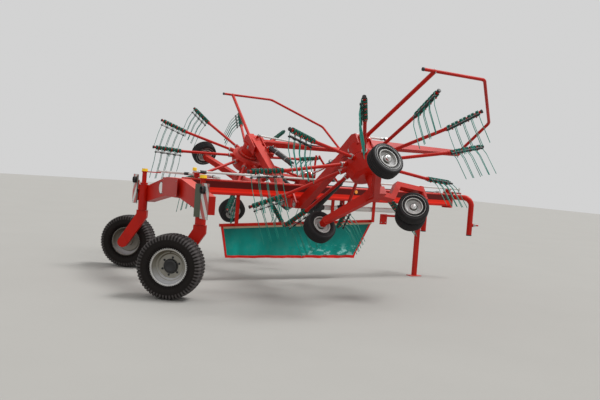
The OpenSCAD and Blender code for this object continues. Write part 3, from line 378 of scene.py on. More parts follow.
class Shape:
    # vertices and faces of one piece while it is being made; a tag picks the finish
    def __init__(self):
        self.points, self.faces, self.tags = [], [], []

    def add(self, points, faces, tag=0, matrix=None):
        first = len(self.points)
        flip = matrix is not None and matrix.determinant() < 0
        self.points += [matrix @ Vector(p) if matrix is not None else Vector(p) for p in points]
        for face in faces:
            face = [first + i for i in face]
            self.faces.append(face[::-1] if flip else face)
        self.tags += tag if isinstance(tag, list) else [tag] * len(faces)

    def lathe(self, profile, steps, tag=0, matrix=None, bulge=None):
        # profile of (along, radius) turned about the X axis; bulge changes a radius by its place and step;
        # tag is one for all, or a list with one for each row
        points, faces = [], []
        rows = len(profile)
        for i in range(steps):
            angle = math.tau * i / steps
            for along, radius in profile:
                r = radius + (bulge(along, i) if bulge else 0.0)
                points.append((along, r * math.cos(angle), r * math.sin(angle)))
            here, beside = i * rows, (i + 1) % steps * rows
            faces += [[here + k, beside + k, beside + k + 1, here + k + 1] for k in range(rows - 1)]
        self.add(points, faces, tag * steps if isinstance(tag, list) else tag, matrix)

    def tube(self, path, radius, sides=12, tag=0, matrix=None, capped=True):
        # round tube along a path; radius is one value or one for each point
        path = [Vector(p) for p in path]
        radii = radius if isinstance(radius, (list, tuple)) else [radius] * len(path)
        heading = (path[1] - path[0]).normalized()
        side = heading.orthogonal().normalized()
        points = []
        for i, point in enumerate(path):
            ahead = path[min(i + 1, len(path) - 1)] - path[max(i - 1, 0)]
            turned = heading.rotation_difference(ahead.normalized())
            side = (turned @ side).normalized()
            heading = ahead.normalized()
            across = heading.cross(side)
            points += [point + (side * a + across * b) * radii[i] for a, b in circle(1.0, sides)]
        self.add(points, ringFaces(len(path), sides, capped), tag, matrix)

    def slab(self, outline, low, high, tag=0, matrix=None, bevel=0.0):
        # outline in XY pulled from low to high, its rims cut back by the bevel
        middle = sum((Vector((*p, 0.0)) for p in outline), Vector()) / len(outline)

        def ring(z, inset):
            return [Vector((x, y, z)) + (middle - Vector((x, y, 0.0))).normalized() * inset
                    for x, y in outline]

        rings = [ring(low, 0.0), ring(high, 0.0)]
        if bevel:
            rings = [ring(low, bevel), ring(low + bevel, 0.0), ring(high - bevel, 0.0), ring(high, bevel)]
        self.add([p for r in rings for p in r], ringFaces(len(rings), len(outline)), tag, matrix)

    def box(self, low, high, tag=0, matrix=None, bevel=0.002):
        outline = [(low[0], low[1]), (high[0], low[1]), (high[0], high[1]), (low[0], high[1])]
        self.slab(outline, low[2], high[2], tag, matrix, bevel)

    def bolt(self, place, direction, size=0.008, tag=0, matrix=None):
        # washer and hexagon head
        turn = Vector(direction).to_track_quat("Z", "Y").to_matrix().to_4x4()
        seat = Matrix.Translation(place) @ turn
        seat = matrix @ seat if matrix is not None else seat
        self.slab(circle(size * 1.25, 16), -0.0005, size * 0.2, tag, seat)
        self.slab(circle(size, 6), size * 0.15, size * 0.85, tag, seat, size * 0.08)

    def boltCircle(self, along, radius, count, first, size, tag=0, matrix=None):
        # bolts around the X axis, the first of them at an angle in degrees
        for i in range(count):
            angle = math.radians(first + 360 / count * i)
            self.bolt((along, radius * math.cos(angle), radius * math.sin(angle)), (1, 0, 0), size, tag,
                      matrix)

    def piece(self, name, body, looks, slot=None, smooth=38, origin=None):
        # makes the object, with its own axes in origin where that is given
        mesh = bpy.data.meshes.new(name)
        home = origin or Matrix.Identity(4)
        back = home.inverted()
        mesh.from_pydata([back @ p for p in self.points] if origin else self.points, [], self.faces)
        for look in looks:
            mesh.materials.append(finishes[look])
        mesh.polygons.foreach_set("material_index", self.tags)
        mesh.update()
        if smooth:
            mesh.shade_smooth()
            mesh.set_sharp_from_angle(angle=math.radians(smooth))
        made = bpy.data.objects.new(name, mesh)
        made.matrix_world = home
        bpy.context.scene.collection.objects.link(made)
        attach(made, body)
        return made


def axes(origin, x, y, z):
    # matrix from three directions and an origin
    return Matrix.Translation(origin) @ Matrix((x, y, z)).transposed().to_4x4()


def machine(x, y, z):
    # a place measured from the middle of the kingpin line, at ground level
    return kingpinLine + Vector((x, y, z))


def facing(place, ahead):
    # axes whose X runs along ahead, for turned pieces
    return Matrix.Translation(place) @ Vector(ahead).normalized().to_track_quat("X", "Z").to_matrix().to_4x4()


def rotorAxes(side):
    # rotor's own axes: X outwards, Y ahead, Z up along the rotor's shaft
    spin = joints["rotor_spin_" + side]
    up = Vector(spin["axis"])
    up = up if up.z > 0 else -up
    out = Vector((up.z, 0.0, -up.x))
    out = out if out.x * sides[side] > 0 else -out
    return axes(Vector(spin["pos_m"]), out, Vector((0, 1, 0)), up)


def wheelAxes(joint):
    # wheel's own axes: X along the axle away from the machine's middle
    spin = joints[joint]
    along = Vector(spin["axis"]).normalized()
    ahead = Vector((0, 0, 1)).cross(along).normalized()
    return axes(Vector(spin["pos_m"]), along, ahead, along.cross(ahead))


cameraLook = {"place": (10.082, -6.453, 1.791), "heading": 58.87, "pitch": -2.36, "roll": 4.23, "lens": 43.55}


def makeCamera(look):
    heading, pitch, roll = (math.radians(look[k]) for k in ("heading", "pitch", "roll"))
    ahead = Vector((-math.sin(heading) * math.cos(pitch), math.cos(heading) * math.cos(pitch),
                    math.sin(pitch)))
    level = Vector((math.cos(heading), math.sin(heading), 0.0))
    over = level.cross(ahead)
    across = level * math.cos(roll) + over * math.sin(roll)
    upward = over * math.cos(roll) - level * math.sin(roll)
    lens = bpy.data.cameras.new("camera")
    lens.lens = look["lens"]
    lens.sensor_width = 36.0
    lens.clip_end = 400.0
    made = bpy.data.objects.new("camera", lens)
    made.matrix_world = axes(Vector(look["place"]), across, upward, -ahead)
    bpy.context.scene.collection.objects.link(made)
    bpy.context.scene.camera = made


studio = {"sky": 0.66, "skyColour": (0.985, 0.985, 0.985), "sun": 2.1, "sunAngle": 0.35,
          "sunFrom": (0.2, 0.6, 1.0), "fill": 0.12, "floor": (0.42, 0.41, 0.385), "floorSize": 90.0,
          "tones": "Standard"}


def makeStudio(look):
    world = bpy.data.worlds.new("studio")
    world.use_nodes = True
    world.node_tree.nodes["Background"].inputs[0].default_value = (*look["skyColour"], 1.0)
    world.node_tree.nodes["Background"].inputs[1].default_value = look["sky"]
    bpy.context.scene.world = world
    bpy.context.scene.view_settings.view_transform = look["tones"]
    for name, power, angle, source in (("key", look["sun"], look["sunAngle"], look["sunFrom"]),
                                       ("fill", look["sun"] * look["fill"], 0.9, (1.0, -0.6, 0.5))):
        lamp = bpy.data.lights.new(name, "SUN")
        lamp.energy, lamp.angle = power, angle
        made = bpy.data.objects.new(name, lamp)
        made.rotation_mode = "QUATERNION"
        made.rotation_quaternion = Vector(source).to_track_quat("Z", "Y")
        bpy.context.scene.collection.objects.link(made)
    half = look["floorSize"] / 2
    mesh = bpy.data.meshes.new("floor")
    mesh.from_pydata([(-half, -half, 0), (half, -half, 0), (half, half, 0), (-half, half, 0)], [],
                     [[0, 1, 2, 3]])
    ground = Finish("pale floor")
    mottled = ground.noise(0.7, 5.0)
    ground.set(baseColor=ground.mix(mottled, look["floor"], tuple(c * 0.93 for c in look["floor"])),
               roughness=0.9)
    mesh.materials.append(ground.material)
    made = bpy.data.objects.new("floor", mesh)
    bpy.context.scene.collection.objects.link(made)


makeCamera(cameraLook)
makeStudio(studio)
print("camera and studio made")


def paintSolids():
    # a solid's finish goes by its whole name, or else by how the name starts
    looks = {"main_beam": "beamRed", "curtain": "cloth", "pto_line": "greyTube", "gearbox": "dark",
             "rear_lamps": "plastic", "warning_boards": "boardBack", "rear_plates": "white"}
    starts = (("guard_", "hoopRed"), ("arms_", "armRed"), ("tines_", "green"), ("tyre_", "tyre"),
              ("rim_", "silver"), ("wheel_", "smallTyre"), ("caster_wheels_", "smallTyre"),
              ("tie_rod_", "rod"), ("drag_link_", "rod"), ("lift_barrel_", "dark"), ("lift_rod_", "chrome"),
              ("shaft_", "plastic"))
    for name, solid in nodes.items():
        look = looks.get(name) or next((l for start, l in starts if name.startswith(start)), "red")
        if not solid.material_slots:
            solid.data.materials.append(None)
        for place in solid.material_slots:
            place.material = finishes[look]


paintSolids()
print("solids painted")


rotorSizes = {"arms": 11, "phase": {"right": -34.0, "left": -50.4}, "socketAt": 0.372, "tip": 1.746,
              "carrierRadius": 0.020}
tineSizes = {"doubles": 4, "first": 1.301, "pitch": 0.115, "wire": 0.005, "slack": 0.0085, "coilTurns": 3.75,
             "turnPitch": 0.0104, "coilSteps": 45, "drop": 0.545, "upperLean": 24.0, "lowerLean": 6.0,
             "upperLength": 0.20, "bend": 0.05, "strapDrop": 0.078}


def armAxes(side, number):
    # axes of one tine arm: X outwards along the arm, Z up
    angle = rotorSizes["phase"][side] + number * 360.0 / rotorSizes["arms"]
    return rotorAxes(side) @ Matrix.Rotation(math.radians(angle), 4, "Z")


def doubleTine(shape, sizes, matrix, rng):
    # one length of wire: leg, coil, bridge, coil, leg
    coil = rotorSizes["carrierRadius"] + sizes["wire"] + sizes["slack"]
    leanA = math.radians(sizes["upperLean"] + rng.uniform(-1.2, 1.2))
    leanB = math.radians(sizes["lowerLean"] + rng.uniform(-1.2, 1.2))
    width = sizes["coilTurns"] * sizes["turnPitch"]
    inner = sizes["pitch"] / 4 - width / 2

    def down(lean):
        return Vector((0, -math.sin(lean), -math.cos(lean)))

    turns = []
    for i in range(sizes["coilSteps"] + 1):
        share = i / sizes["coilSteps"]
        angle = math.pi - leanA - math.tau * sizes["coilTurns"] * (1 - share)
        turns.append((inner + width * share, coil * math.cos(angle), coil * math.sin(angle)))
    foot = Vector(turns[-1])
    leg = [foot + down(leanA) * length for length in (0.05, 0.12, sizes["upperLength"])]
    point = leg[-1].copy()
    for i in range(1, 5):
        point = point + down(leanA + (leanB - leanA) * (i - 0.5) / 4) * sizes["bend"] / 4
        leg.append(point.copy())
    rest = (sizes["drop"] + point.z) / math.cos(leanB)
    leg += [point + down(leanB) * rest * share for share in (0.5, 0.985, 1.0)]
    half = [Vector(p) for p in turns] + leg
    wire = [Vector((-p.x, p.y, p.z)) for p in reversed(half)] + half
    radii = [sizes["wire"]] * len(wire)
    radii[0] = radii[-1] = sizes["wire"] * 0.55
    # the coils take a darker copy of the tine green as painted shade
    turning = range(len(leg), len(leg) + len(turns) - 1)
    coiled = [i in turning or len(wire) - 2 - i in turning for i in range(len(wire) - 1)]
    shape.tube(wire, radii, 6, [4 if coil else 0 for coil in coiled for k in range(6)] + [0, 0], matrix)
    # strap and rubber block that keep a broken tine
    hang = sizes["strapDrop"]
    seat = matrix @ axes(Vector((0, -coil * math.cos(leanA) - hang * math.sin(leanA),
                                 coil * math.sin(leanA) - hang * math.cos(leanA))),
                         Vector((1, 0, 0)), Vector((0, math.cos(leanA), -math.sin(leanA))),
                         Vector((0, math.sin(leanA), math.cos(leanA))))
    reach = inner + width
    bow = [(-reach - 0.006 + (2 * reach + 0.012) * i / 8, 0.012 + 0.007 * math.sin(math.pi * i / 8))
           for i in range(9)]
    for (x0, z0), (x1, z1) in zip(bow, bow[1:]):
        shape.box((x0, -0.011, min(z0, z1) - 0.002), (x1, 0.011, max(z0, z1) + 0.002), 1, seat, 0.0)
    for s in (-1, 1):
        shape.box((s * reach - 0.016, -0.013, -0.010), (s * reach + 0.016, 0.013, 0.010), 2, seat, 0.003)
    shape.box((-reach + 0.014, -0.010, -0.004), (reach - 0.014, 0.010, 0.005), 2, seat, 0.0)
    for s in (-1, 1):
        shape.bolt((s * reach * 0.45, 0.0, 0.018), (0, 0, 1), 0.0075, 1, seat)
    # clamp that holds the middle of the wire on the carrier
    shape.box((-0.008, -0.017, -coil - 0.014), (0.008, 0.017, -coil + 0.012), 3, matrix, 0.002)
    shape.bolt((0.0, 0.0, -coil - 0.013), (0, 0, -1), 0.006, 1, matrix)


def makeTines(side, sizes):
    rng = random.Random(11 + sides[side])
    shape = Shape()
    for number in range(rotorSizes["arms"]):
        arm = armAxes(side, number)
        for k in range(sizes["doubles"]):
            doubleTine(shape, sizes, arm @ Matrix.Translation((sizes["first"] + k * sizes["pitch"], 0, 0)),
                       rng)
        tip = rotorSizes["tip"]
        shape.lathe([(tip - 0.022, 0.0), (tip - 0.022, 0.025), (tip, 0.026), (tip + 0.006, 0.022),
                     (tip + 0.006, 0.0)], 16, 2, arm)
    tines = shape.piece("tines." + side, "rotor_" + side, ["green", "zinc", "plastic", "armRed", "shadedCoilGreen"],
                        "tine_green", 50)
    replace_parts(tines, "tines_" + side)


for side in sides:
    makeTines(side, tineSizes)
print("tines made")


bigTyre = {"radius": 0.425, "width": 0.38, "rim": 0.2323, "flange": 0.0150, "lugs": 56, "steps": 448,
           "groove": 0.013}
hubLook = {"nuts": 6, "firstNut": 20, "nutCircle": 0.116, "nutSize": 0.0120, "face": 0.0172}
smallWheel = {"radius": 0.228, "width": 0.18, "rim": 0.122, "flange": 0.0080, "steps": 96, "groove": 0.006}


def tyreSection(size, ribs):
    # half section from bead to the middle of the tread, as (along, radius), then mirrored
    w, r, rim = size["width"], size["radius"], size["rim"]
    wall = r - rim
    lip = size["flange"] / wall
    half = [(0.36, 0.0), (0.372, lip), (0.40, lip + 0.03), (0.44, lip + 0.07), (0.465, 0.24), (0.484, 0.3),
            (0.496, 0.4), (0.5, 0.5), (0.4985, 0.56), (0.505, 0.575), (0.505, 0.6), (0.496, 0.615),
            (0.492, 0.70), (0.486, 0.78), (0.478, 0.82), (0.466, 0.86), (0.45, 0.9), (0.425, 0.935),
            (0.4, 0.955)]
    side = [(a * w, rim + b * wall) for a, b in half]
    crown = [(a * w, r - (a / 0.4) ** 2 * 0.045 * wall) for a in ribs]
    section = side + crown
    return [(-a, b) for a, b in section] + [(a, b) for a, b in reversed(section)]


def makeBigTyre(side, size):
    ribs = [0.37, 0.34, 0.30, 0.272, 0.265, 0.225, 0.218, 0.19, 0.15, 0.112, 0.105, 0.065, 0.058, 0.03, 0.0]
    w = size["width"]
    share = size["steps"] // size["lugs"]

    def tread(along, i):
        # how deep the rubber is cut at this place, as a share of the width, and step
        place = abs(along) / w
        beat = i % share
        offset = (i + (share // 2 if along > 0 else 0)) % share
        if place > 0.445:
            return -0.015 if offset < 3 and place < 0.487 else 0.0
        if place > 0.27:
            return -size["groove"] if offset < 3 else 0.0
        if 0.218 <= place <= 0.268 or 0.06 <= place <= 0.107:
            return -size["groove"]
        if place > 0.107:
            return -size["groove"] if beat in (3, 4) else 0.0
        return -size["groove"] * 0.6 if beat == 6 else 0.0

    place = wheelAxes("wheel_turn_" + side)
    shape = Shape()
    shape.lathe(tyreSection(size, ribs), size["steps"], 0, place, tread)
    tyre = shape.piece("tyre.tread." + side, "wheel_" + side, ["tyre"], "tyre", 32, place)
    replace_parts(tyre, "tyre_" + side)


def makeHub(side, look):
    # wheel nuts, hub cap, valve and flange on the outer face of a transport rim
    place = wheelAxes("wheel_turn_" + side)
    if place.col[0].x * sides[side] < 0:
        place = place @ Matrix.Rotation(math.pi, 4, "Z")
    shape = Shape()
    face = look["face"]
    shape.boltCircle(face, look["nutCircle"], look["nuts"], look["firstNut"], look["nutSize"], 1, place)
    shape.lathe([(0.018, 0.0875), (0.049, 0.0875), (0.0545, 0.084), (0.057, 0.076), (0.0575, 0.060),
                 (0.0545, 0.056), (0.0545, 0.0)], 48, 0, place)
    shape.lathe([(face, 0.098), (0.020, 0.097), (0.020, 0.090), (face, 0.089)], 48, 1, place)
    shape.tube([(0.046, 0.0, 0.188), (0.066, 0.0, 0.190), (0.088, 0.0, 0.186)], [0.006, 0.005, 0.0045], 8, 0,
               place)
    shape.lathe([(0.1340, 0.2200), (0.1400, 0.2225), (0.1430, 0.2290), (0.1460, 0.2380), (0.1465, 0.2440),
                 (0.1450, 0.2475), (0.1410, 0.2485), (0.1370, 0.2450)], 96, 2, place)
    shape.piece("hub.cap." + side, "wheel_" + side, ["plastic", "dark", "flange"])


smallWheelLooks = ["smallTyre", "dish", "wall", "ring", "rimDisc", "rod"]


def dishRings(rim, pale):
    # what is turned on each face of a small wheel, from its wall inwards, as (profile, steps, tag)
    # on pale wheels the middle ridge of the tyre wall takes the bright tube paint as a painted reflection of
    # the sky
    lines = [([(0.0860, at - 0.0050), (0.0898, at - 0.0030), (0.0899, at + 0.0010), (0.0862, at + 0.0040)],
              72, tag) for at, tag in ((0.150, 2), (0.1715, 5 if pale else 2), (0.186, 2))]
    return lines + [
        ([(0.066, rim + 0.009), (0.076, rim + 0.010), (0.080, rim + 0.005), (0.080, rim - 0.001),
          (0.076, rim - 0.004)], 64, 5),
        ([(0.076, rim - 0.004), (0.064, rim - 0.006), (0.046, rim - 0.012)], 48, 1),
        ([(0.046, rim - 0.012), (0.040, rim - 0.014), (0.036, rim - 0.028), (0.030, rim - 0.034),
          (0.024, 0.070)], 48, 1),
        ([(0.024, 0.070), (0.031, 0.066), (0.033, 0.060), (0.028, 0.054), (0.024, 0.052)], 48, 3),
        ([(0.024, 0.052), (0.030, 0.046), (0.048, 0.044)], 48, 4),
        ([(0.048, 0.044), (0.054, 0.042), (0.056, 0.036), (0.056, 0.024)], 40, 1)]


def makeSmallWheel(name, joint, body, node, size, shifts, pale=True):
    # tyre, dish and bearing end of a chassis or caster wheel, once for each shift along the axle
    place = wheelAxes(joint)
    shape = Shape()
    w, rim = size["width"], size["rim"]
    ribs = [0.36, 0.33, 0.325, 0.29, 0.285, 0.2, 0.195, 0.155, 0.15, 0.07, 0.065, 0.03, 0.025, 0.0]

    def tread(along, i):
        a = abs(along) / w
        return -size["groove"] if 0.288 < a < 0.328 or 0.153 < a < 0.197 or a < 0.028 else 0.0

    section = tyreSection(size, ribs)
    wall = rim + (size["radius"] - rim) * 0.84
    for shift in shifts:
        seat = place @ Matrix.Translation((shift, 0, 0))
        shape.lathe(section, size["steps"], [2 if r < wall else 0 for a, r in section[:-1]], seat, tread)
        for s in (-1, 1):
            for profile, steps, tag in dishRings(rim, pale):
                shape.lathe(profile, steps, tag, seat @ Matrix.Scale(s, 4, (1, 0, 0)))
    wheel = shape.piece(name, body, smallWheelLooks, "tyre", 34, place)
    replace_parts(wheel, node)


def makeAxleCap(name, side, joint, body, ends):
    # bright grease cap and washer where a small wheel's axle ends
    place = wheelAxes(joint)
    out = 1 if place.col[0].to_3d().dot(rotorAxes(side).col[0].to_3d()) > 0 else -1
    shape = Shape()
    for along, way in ends:
        seat = place @ Matrix.Scale(way * out, 4, (1, 0, 0)) @ Matrix.Translation((along, 0, 0))
        shape.lathe([(0.0, 0.0), (0.0, 0.035), (0.004, 0.035), (0.005, 0.027), (0.018, 0.026), (0.026, 0.021),
                     (0.029, 0.012), (0.030, 0.0)], 28, 0, seat)
    shape.piece(name, body, ["ring"])


for side in sides:
    makeBigTyre(side, bigTyre)
    makeHub(side, hubLook)
    for tag in ("outer", "inner"):
        makeSmallWheel(f"wheel.{tag}.{side}", f"chassis_wheel_{tag}_{side}", f"wheel_{tag}_{side}",
                       f"wheel_{tag}_{side}", smallWheel, [0.0], tag == "outer")
        makeAxleCap(f"axle.cap.{tag}.{side}", side, f"chassis_wheel_{tag}_{side}", "boom_" + side,
                    [(0.079, 1 if tag == "outer" else -1)])
    makeSmallWheel("twin.wheels." + side, "caster_wheels_turn_" + side, "caster_wheels_" + side,
                   "caster_wheels_" + side, smallWheel, [-0.115, 0.115])
    makeAxleCap("axle.caps.twin." + side, side, "caster_wheels_turn_" + side, "caster_fork_" + side,
                [(0.1745, 1), (0.1745, -1)])
print("wheels made")


curtainLook = {"columns": 150, "rows": 26, "fold": 0.034, "folds": 6.0, "crumple": 0.020, "thickness": 0.0016}


def curtainOutline():
    # the solid curtain's upper corners at the rear and at the front, and its lower edge from rear to front
    corners = sorted({(round(v.co.y, 4), round(v.co.z, 4)) for v in nodes["curtain"].data.vertices})
    low = min(z for y, z in corners)
    upper = [corner for corner in corners if corner[1] > low + 0.1]
    return upper[0], upper[-1], [corner for corner in corners if corner[1] <= low + 0.1]


def curtainPoint(s, t, depth=0.0):
    # s runs from the rear to the front, t from the bar to the lower edge
    rear, front, lower = curtainOutline()
    head = (rear[0] + (front[0] - rear[0]) * s, rear[1] + (front[1] - rear[1]) * s)
    foot = (lower[0][0] + (lower[-1][0] - lower[0][0]) * s, lower[0][1] + (lower[-1][1] - lower[0][1]) * s)
    y, z = (a * (1 - t) + b * t for a, b in zip(head, foot))
    loose = t ** 1.1 * (0.35 + 0.65 * math.sin(math.pi * min(1.0, max(0.0, s))) ** 0.5)
    wave = (math.sin(math.tau * curtainLook["folds"] * s + 0.7 * math.sin(9.0 * s)) +
            0.5 * math.sin(math.tau * 2.3 * curtainLook["folds"] * s + 1.3 + 1.5 * t) +
            0.35 * math.sin(19.0 * s + 5.0 * t) + 0.9 * math.sin(3.3 * s + 0.6))
    crumple = 0.5 * math.sin(61.0 * s - 9.0 * t) + 0.5 * math.sin(37.0 * s + 14.0 * t)
    crease = curtainLook["crumple"] * crumple * t ** 2 * max(0.0, min(1.0, (s - 0.45) / 0.25))
    return Vector((depth + curtainLook["fold"] * wave * loose * 0.6 + crease, y, z))


def ribbonAlong(edge, inner, tag, shape):
    # flat hem over both faces of the cloth's edge
    for depth in (-0.0035, 0.0035):
        rows = [point + Vector((depth, 0, 0)) for pair in zip(edge, inner) for point in pair]
        faces = [[2 * i, 2 * i + 2, 2 * i + 3, 2 * i + 1] for i in range(len(edge) - 1)]
        shape.add(rows, faces, tag)


def makeCurtain(look):
    # creased cloth, red hems over its edges and pale webbing along its bar
    shape = Shape()
    columns, rows = look["columns"], look["rows"]
    points = [curtainPoint(i / columns, k / rows) for i in range(columns + 1) for k in range(rows + 1)]
    faces = [[i * (rows + 1) + k, (i + 1) * (rows + 1) + k, (i + 1) * (rows + 1) + k + 1,
              i * (rows + 1) + k + 1] for i in range(columns) for k in range(rows)]
    shape.add(points, faces)
    cloth = shape.piece("curtain.cloth", "frame", ["cloth"], "cloth", 0)
    for face in cloth.data.polygons:
        face.use_smooth = True
    solid = cloth.modifiers.new("thickness", "SOLIDIFY")
    solid.thickness, solid.offset = look["thickness"], 0.0

    hems = Shape()
    along = [i / columns for i in range(columns + 1)]
    down = [k / rows for k in range(rows + 1)]
    ribbonAlong([curtainPoint(s, 1.0) for s in along], [curtainPoint(s, 1 - 2 / rows) for s in along], 0,
                hems)
    for outer, inner in ((0.0, 2 / columns), (1.0, 1 - 2 / columns)):
        ribbonAlong([curtainPoint(outer, t) for t in down], [curtainPoint(inner, t) for t in down], 0, hems)
    top = [curtainPoint(s, 0.0) for s in along]
    ribbonAlong([point - Vector((0, 0, 0.030)) for point in top], top, 1, hems)
    hem = hems.piece("curtain.hems", "frame", ["hem", "webbing"], "cloth", 0)
    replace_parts(cloth, "curtain")


makeCurtain(curtainLook)
print("curtain made")


boardLook = {"inner": 1.280, "outer": 1.530, "low": 1.060, "high": 1.530, "rear": 0.062, "front": 0.058,
             "film": 0.0012, "stripe": 0.29, "slope": 1.45}


def makeBoards(look):
    # striped film on both faces of each board
    for side, sign in sides.items():
        finishes["stripes." + side] = boardStripes("stripes " + side, "X", look["slope"], look["stripe"],
                                                   sign)
        shape = Shape()
        x0, x1 = sorted((sign * (look["inner"] + 0.003), sign * (look["outer"] - 0.003)))
        rear = -look["rear"] - look["film"]
        for y in (rear, -look["front"]):
            shape.box(machine(x0, y, look["low"] + 0.003),
                      machine(x1, y + look["film"], look["high"] - 0.003), 0, None, 0.0)
        for z in (look["low"] + 0.03, look["high"] - 0.03):
            for share in (0.12, 0.88):
                shape.bolt(machine(x0 + (x1 - x0) * share, rear, z), (0, -1, 0), 0.006, 1)
        shape.piece("board.film." + side, "frame", ["stripes." + side, "zinc"], "white")


lampLook = {"out": 1.380, "up": 1.440, "radius": 0.052, "depth": 0.050}


def makeLamps(look):
    # black hoods with the lens set deep inside
    shape = Shape()
    r, d = look["radius"], look["depth"]
    for sign in sides.values():
        seat = facing(machine(sign * look["out"], -boardLook["rear"], look["up"]), (0, -1, 0))
        shape.lathe([(0.0, 0.0), (0.0, r - 0.004), (0.004, r), (d - 0.004, r), (d, r - 0.002), (d, r - 0.006),
                     (d - 0.003, r - 0.008), (0.013, r - 0.009), (0.010, r - 0.010)], 48, 0, seat)
        shape.lathe([(0.0, r - 0.0095), (0.014, r - 0.0095), (0.019, r - 0.016), (0.022, r - 0.030),
                     (0.023, 0.0)], 48, 1, seat)
        shape.tube([machine(sign * look["out"], -boardLook["front"], look["up"]),
                    machine(sign * look["out"], -boardLook["front"] + 0.02, look["up"] - 0.004),
                    machine(sign * (look["out"] - 0.01), -boardLook["front"] + 0.03, look["up"] - 0.03),
                    machine(sign * (look["out"] - 0.03), -0.016, look["up"] - 0.12)], 0.005, 8, 0)
    lamps = shape.piece("rear.lamp.hoods", "frame", ["plastic", "lampRed"], "black")
    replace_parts(lamps, "rear_lamps")


plateLook = {"wide": 0.600, "high": 0.270, "corner": 0.025, "middle": 1.400, "rear": -0.018, "front": -0.010,
             "discOut": 0.490, "discUp": 1.3653, "disc": 0.095, "discFace": 0.040}


def makePlates(look):
    # blank plate on the arch and the blank disc beside it
    w, h, r = look["wide"] / 2, look["high"] / 2, look["corner"]
    outline = [(sx * (w - r) + r * math.cos(math.radians(a)), sy * (h - r) + r * math.sin(math.radians(a)))
               for sx, sy, first in ((1, 1, 0), (-1, 1, 90), (-1, -1, 180), (1, -1, 270))
               for a in range(first, first + 91, 15)]
    seat = axes(machine(0, look["front"], look["middle"]), Vector((1, 0, 0)), Vector((0, 0, 1)),
                Vector((0, -1, 0)))
    thick = look["front"] - look["rear"]
    shape = Shape()
    shape.slab(outline, 0.0, thick, 0, seat, 0.0015)
    for x in (-1, 1):
        for z in (-1, 1):
            shape.bolt((x * (w - 0.035), z * (h - 0.035), thick), (0, 0, 1), 0.006, 1, seat)
    plate = shape.piece("rear.plate", "frame", ["plateRed", "zinc"])
    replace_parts(plate, "rear_plates")
    disc, r, face = Shape(), look["disc"], 0.0042
    seat = facing(machine(-look["discOut"], look["discFace"], look["discUp"]), (0, -1, 0))
    disc.lathe([(0.0, 0.0), (0.0, r), (0.003, r), (face, r - 0.0015)], 64, 1, seat)
    disc.lathe([(face, r - 0.0015), (face, r - 0.010)], 64, 1, seat)
    disc.lathe([(face, r - 0.010), (face, 0.0)], 64, 0, seat)
    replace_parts(disc.piece("rear.disc", "frame", ["white", "dark"], "white"), "rear_plates")


bracketLook = {"x": 0.0, "guideRadius": 0.017, "stayRadius": 0.020,
               "guide": [[(2.464, 1.557), (2.464, 1.800), (2.467, 1.930), (2.480, 2.050)],
                         [(2.965, 1.557), (2.955, 1.615), (2.881, 1.691), (2.650, 1.900), (2.575, 1.985),
                          (2.530, 2.048)]],
               "plate": [(3.885, 0.950), (4.030, 1.130)],
               "stay": [(3.960, 1.105), (4.300, 1.100), (4.340, 1.150)]}


capLook = {"radius": 0.0465, "low": 1.5900, "height": 0.0425, "pinRadius": 0.031, "pinLow": 1.6690,
           "pinHeight": 0.046}


def capProfile(radius, height):
    return [(0.0, 0.0), (0.0, radius + 0.0025), (0.006, radius + 0.0025), (0.0075, radius),
            (height - 0.008, radius - 0.0005), (height - 0.003, radius - 0.003), (height, radius - 0.008),
            (height, 0.0)]


def makeCaps(look):
    # yellow caps over the kingpins and over the relay lever's drag pin
    for side in sides:
        place = Vector(joints["steer_" + side]["pos_m"])
        place.z = look["low"]
        shape = Shape()
        shape.lathe(capProfile(look["radius"], look["height"]), 48, 0, facing(place, (0, 0, 1)))
        shape.piece("kingpin.cap." + side, "steer_leg_" + side, ["yellow"])
    place = Vector(joints["drag_link_rear_pivot"]["pos_m"])
    place.z = look["pinLow"]
    shape = Shape()
    shape.lathe(capProfile(look["pinRadius"], look["pinHeight"]), 40, 0, facing(place, (0, 0, 1)))
    shape.piece("relay.cap", "relay_lever", ["yellow"])


def pinHead(shape, place, ahead, radius, tag=0, matrix=None):
    # washer, retaining ring and a chamfered pin end
    seat = facing(place, ahead)
    seat = matrix @ seat if matrix is not None else seat
    shape.lathe([(0.0, 0.0), (0.0, radius * 1.5), (0.004, radius * 1.5), (0.0045, radius * 1.15),
                 (0.0075, radius * 1.15), (0.008, radius), (0.013, radius), (0.0155, radius * 0.9),
                 (0.0155, 0.0)], 36, tag, seat)


pinLook = {"boom": (0.190, 2.146, 1.240), "cylinder": (0.045, 2.346, 1.740), "hangers": (3.060, 4.340),
           "hangerBolt": (0.040, 0.0152, 1.275), "posts": (0.400, 2.620), "postTop": 1.640,
           "stand": (-0.262, 4.860, 1.290)}


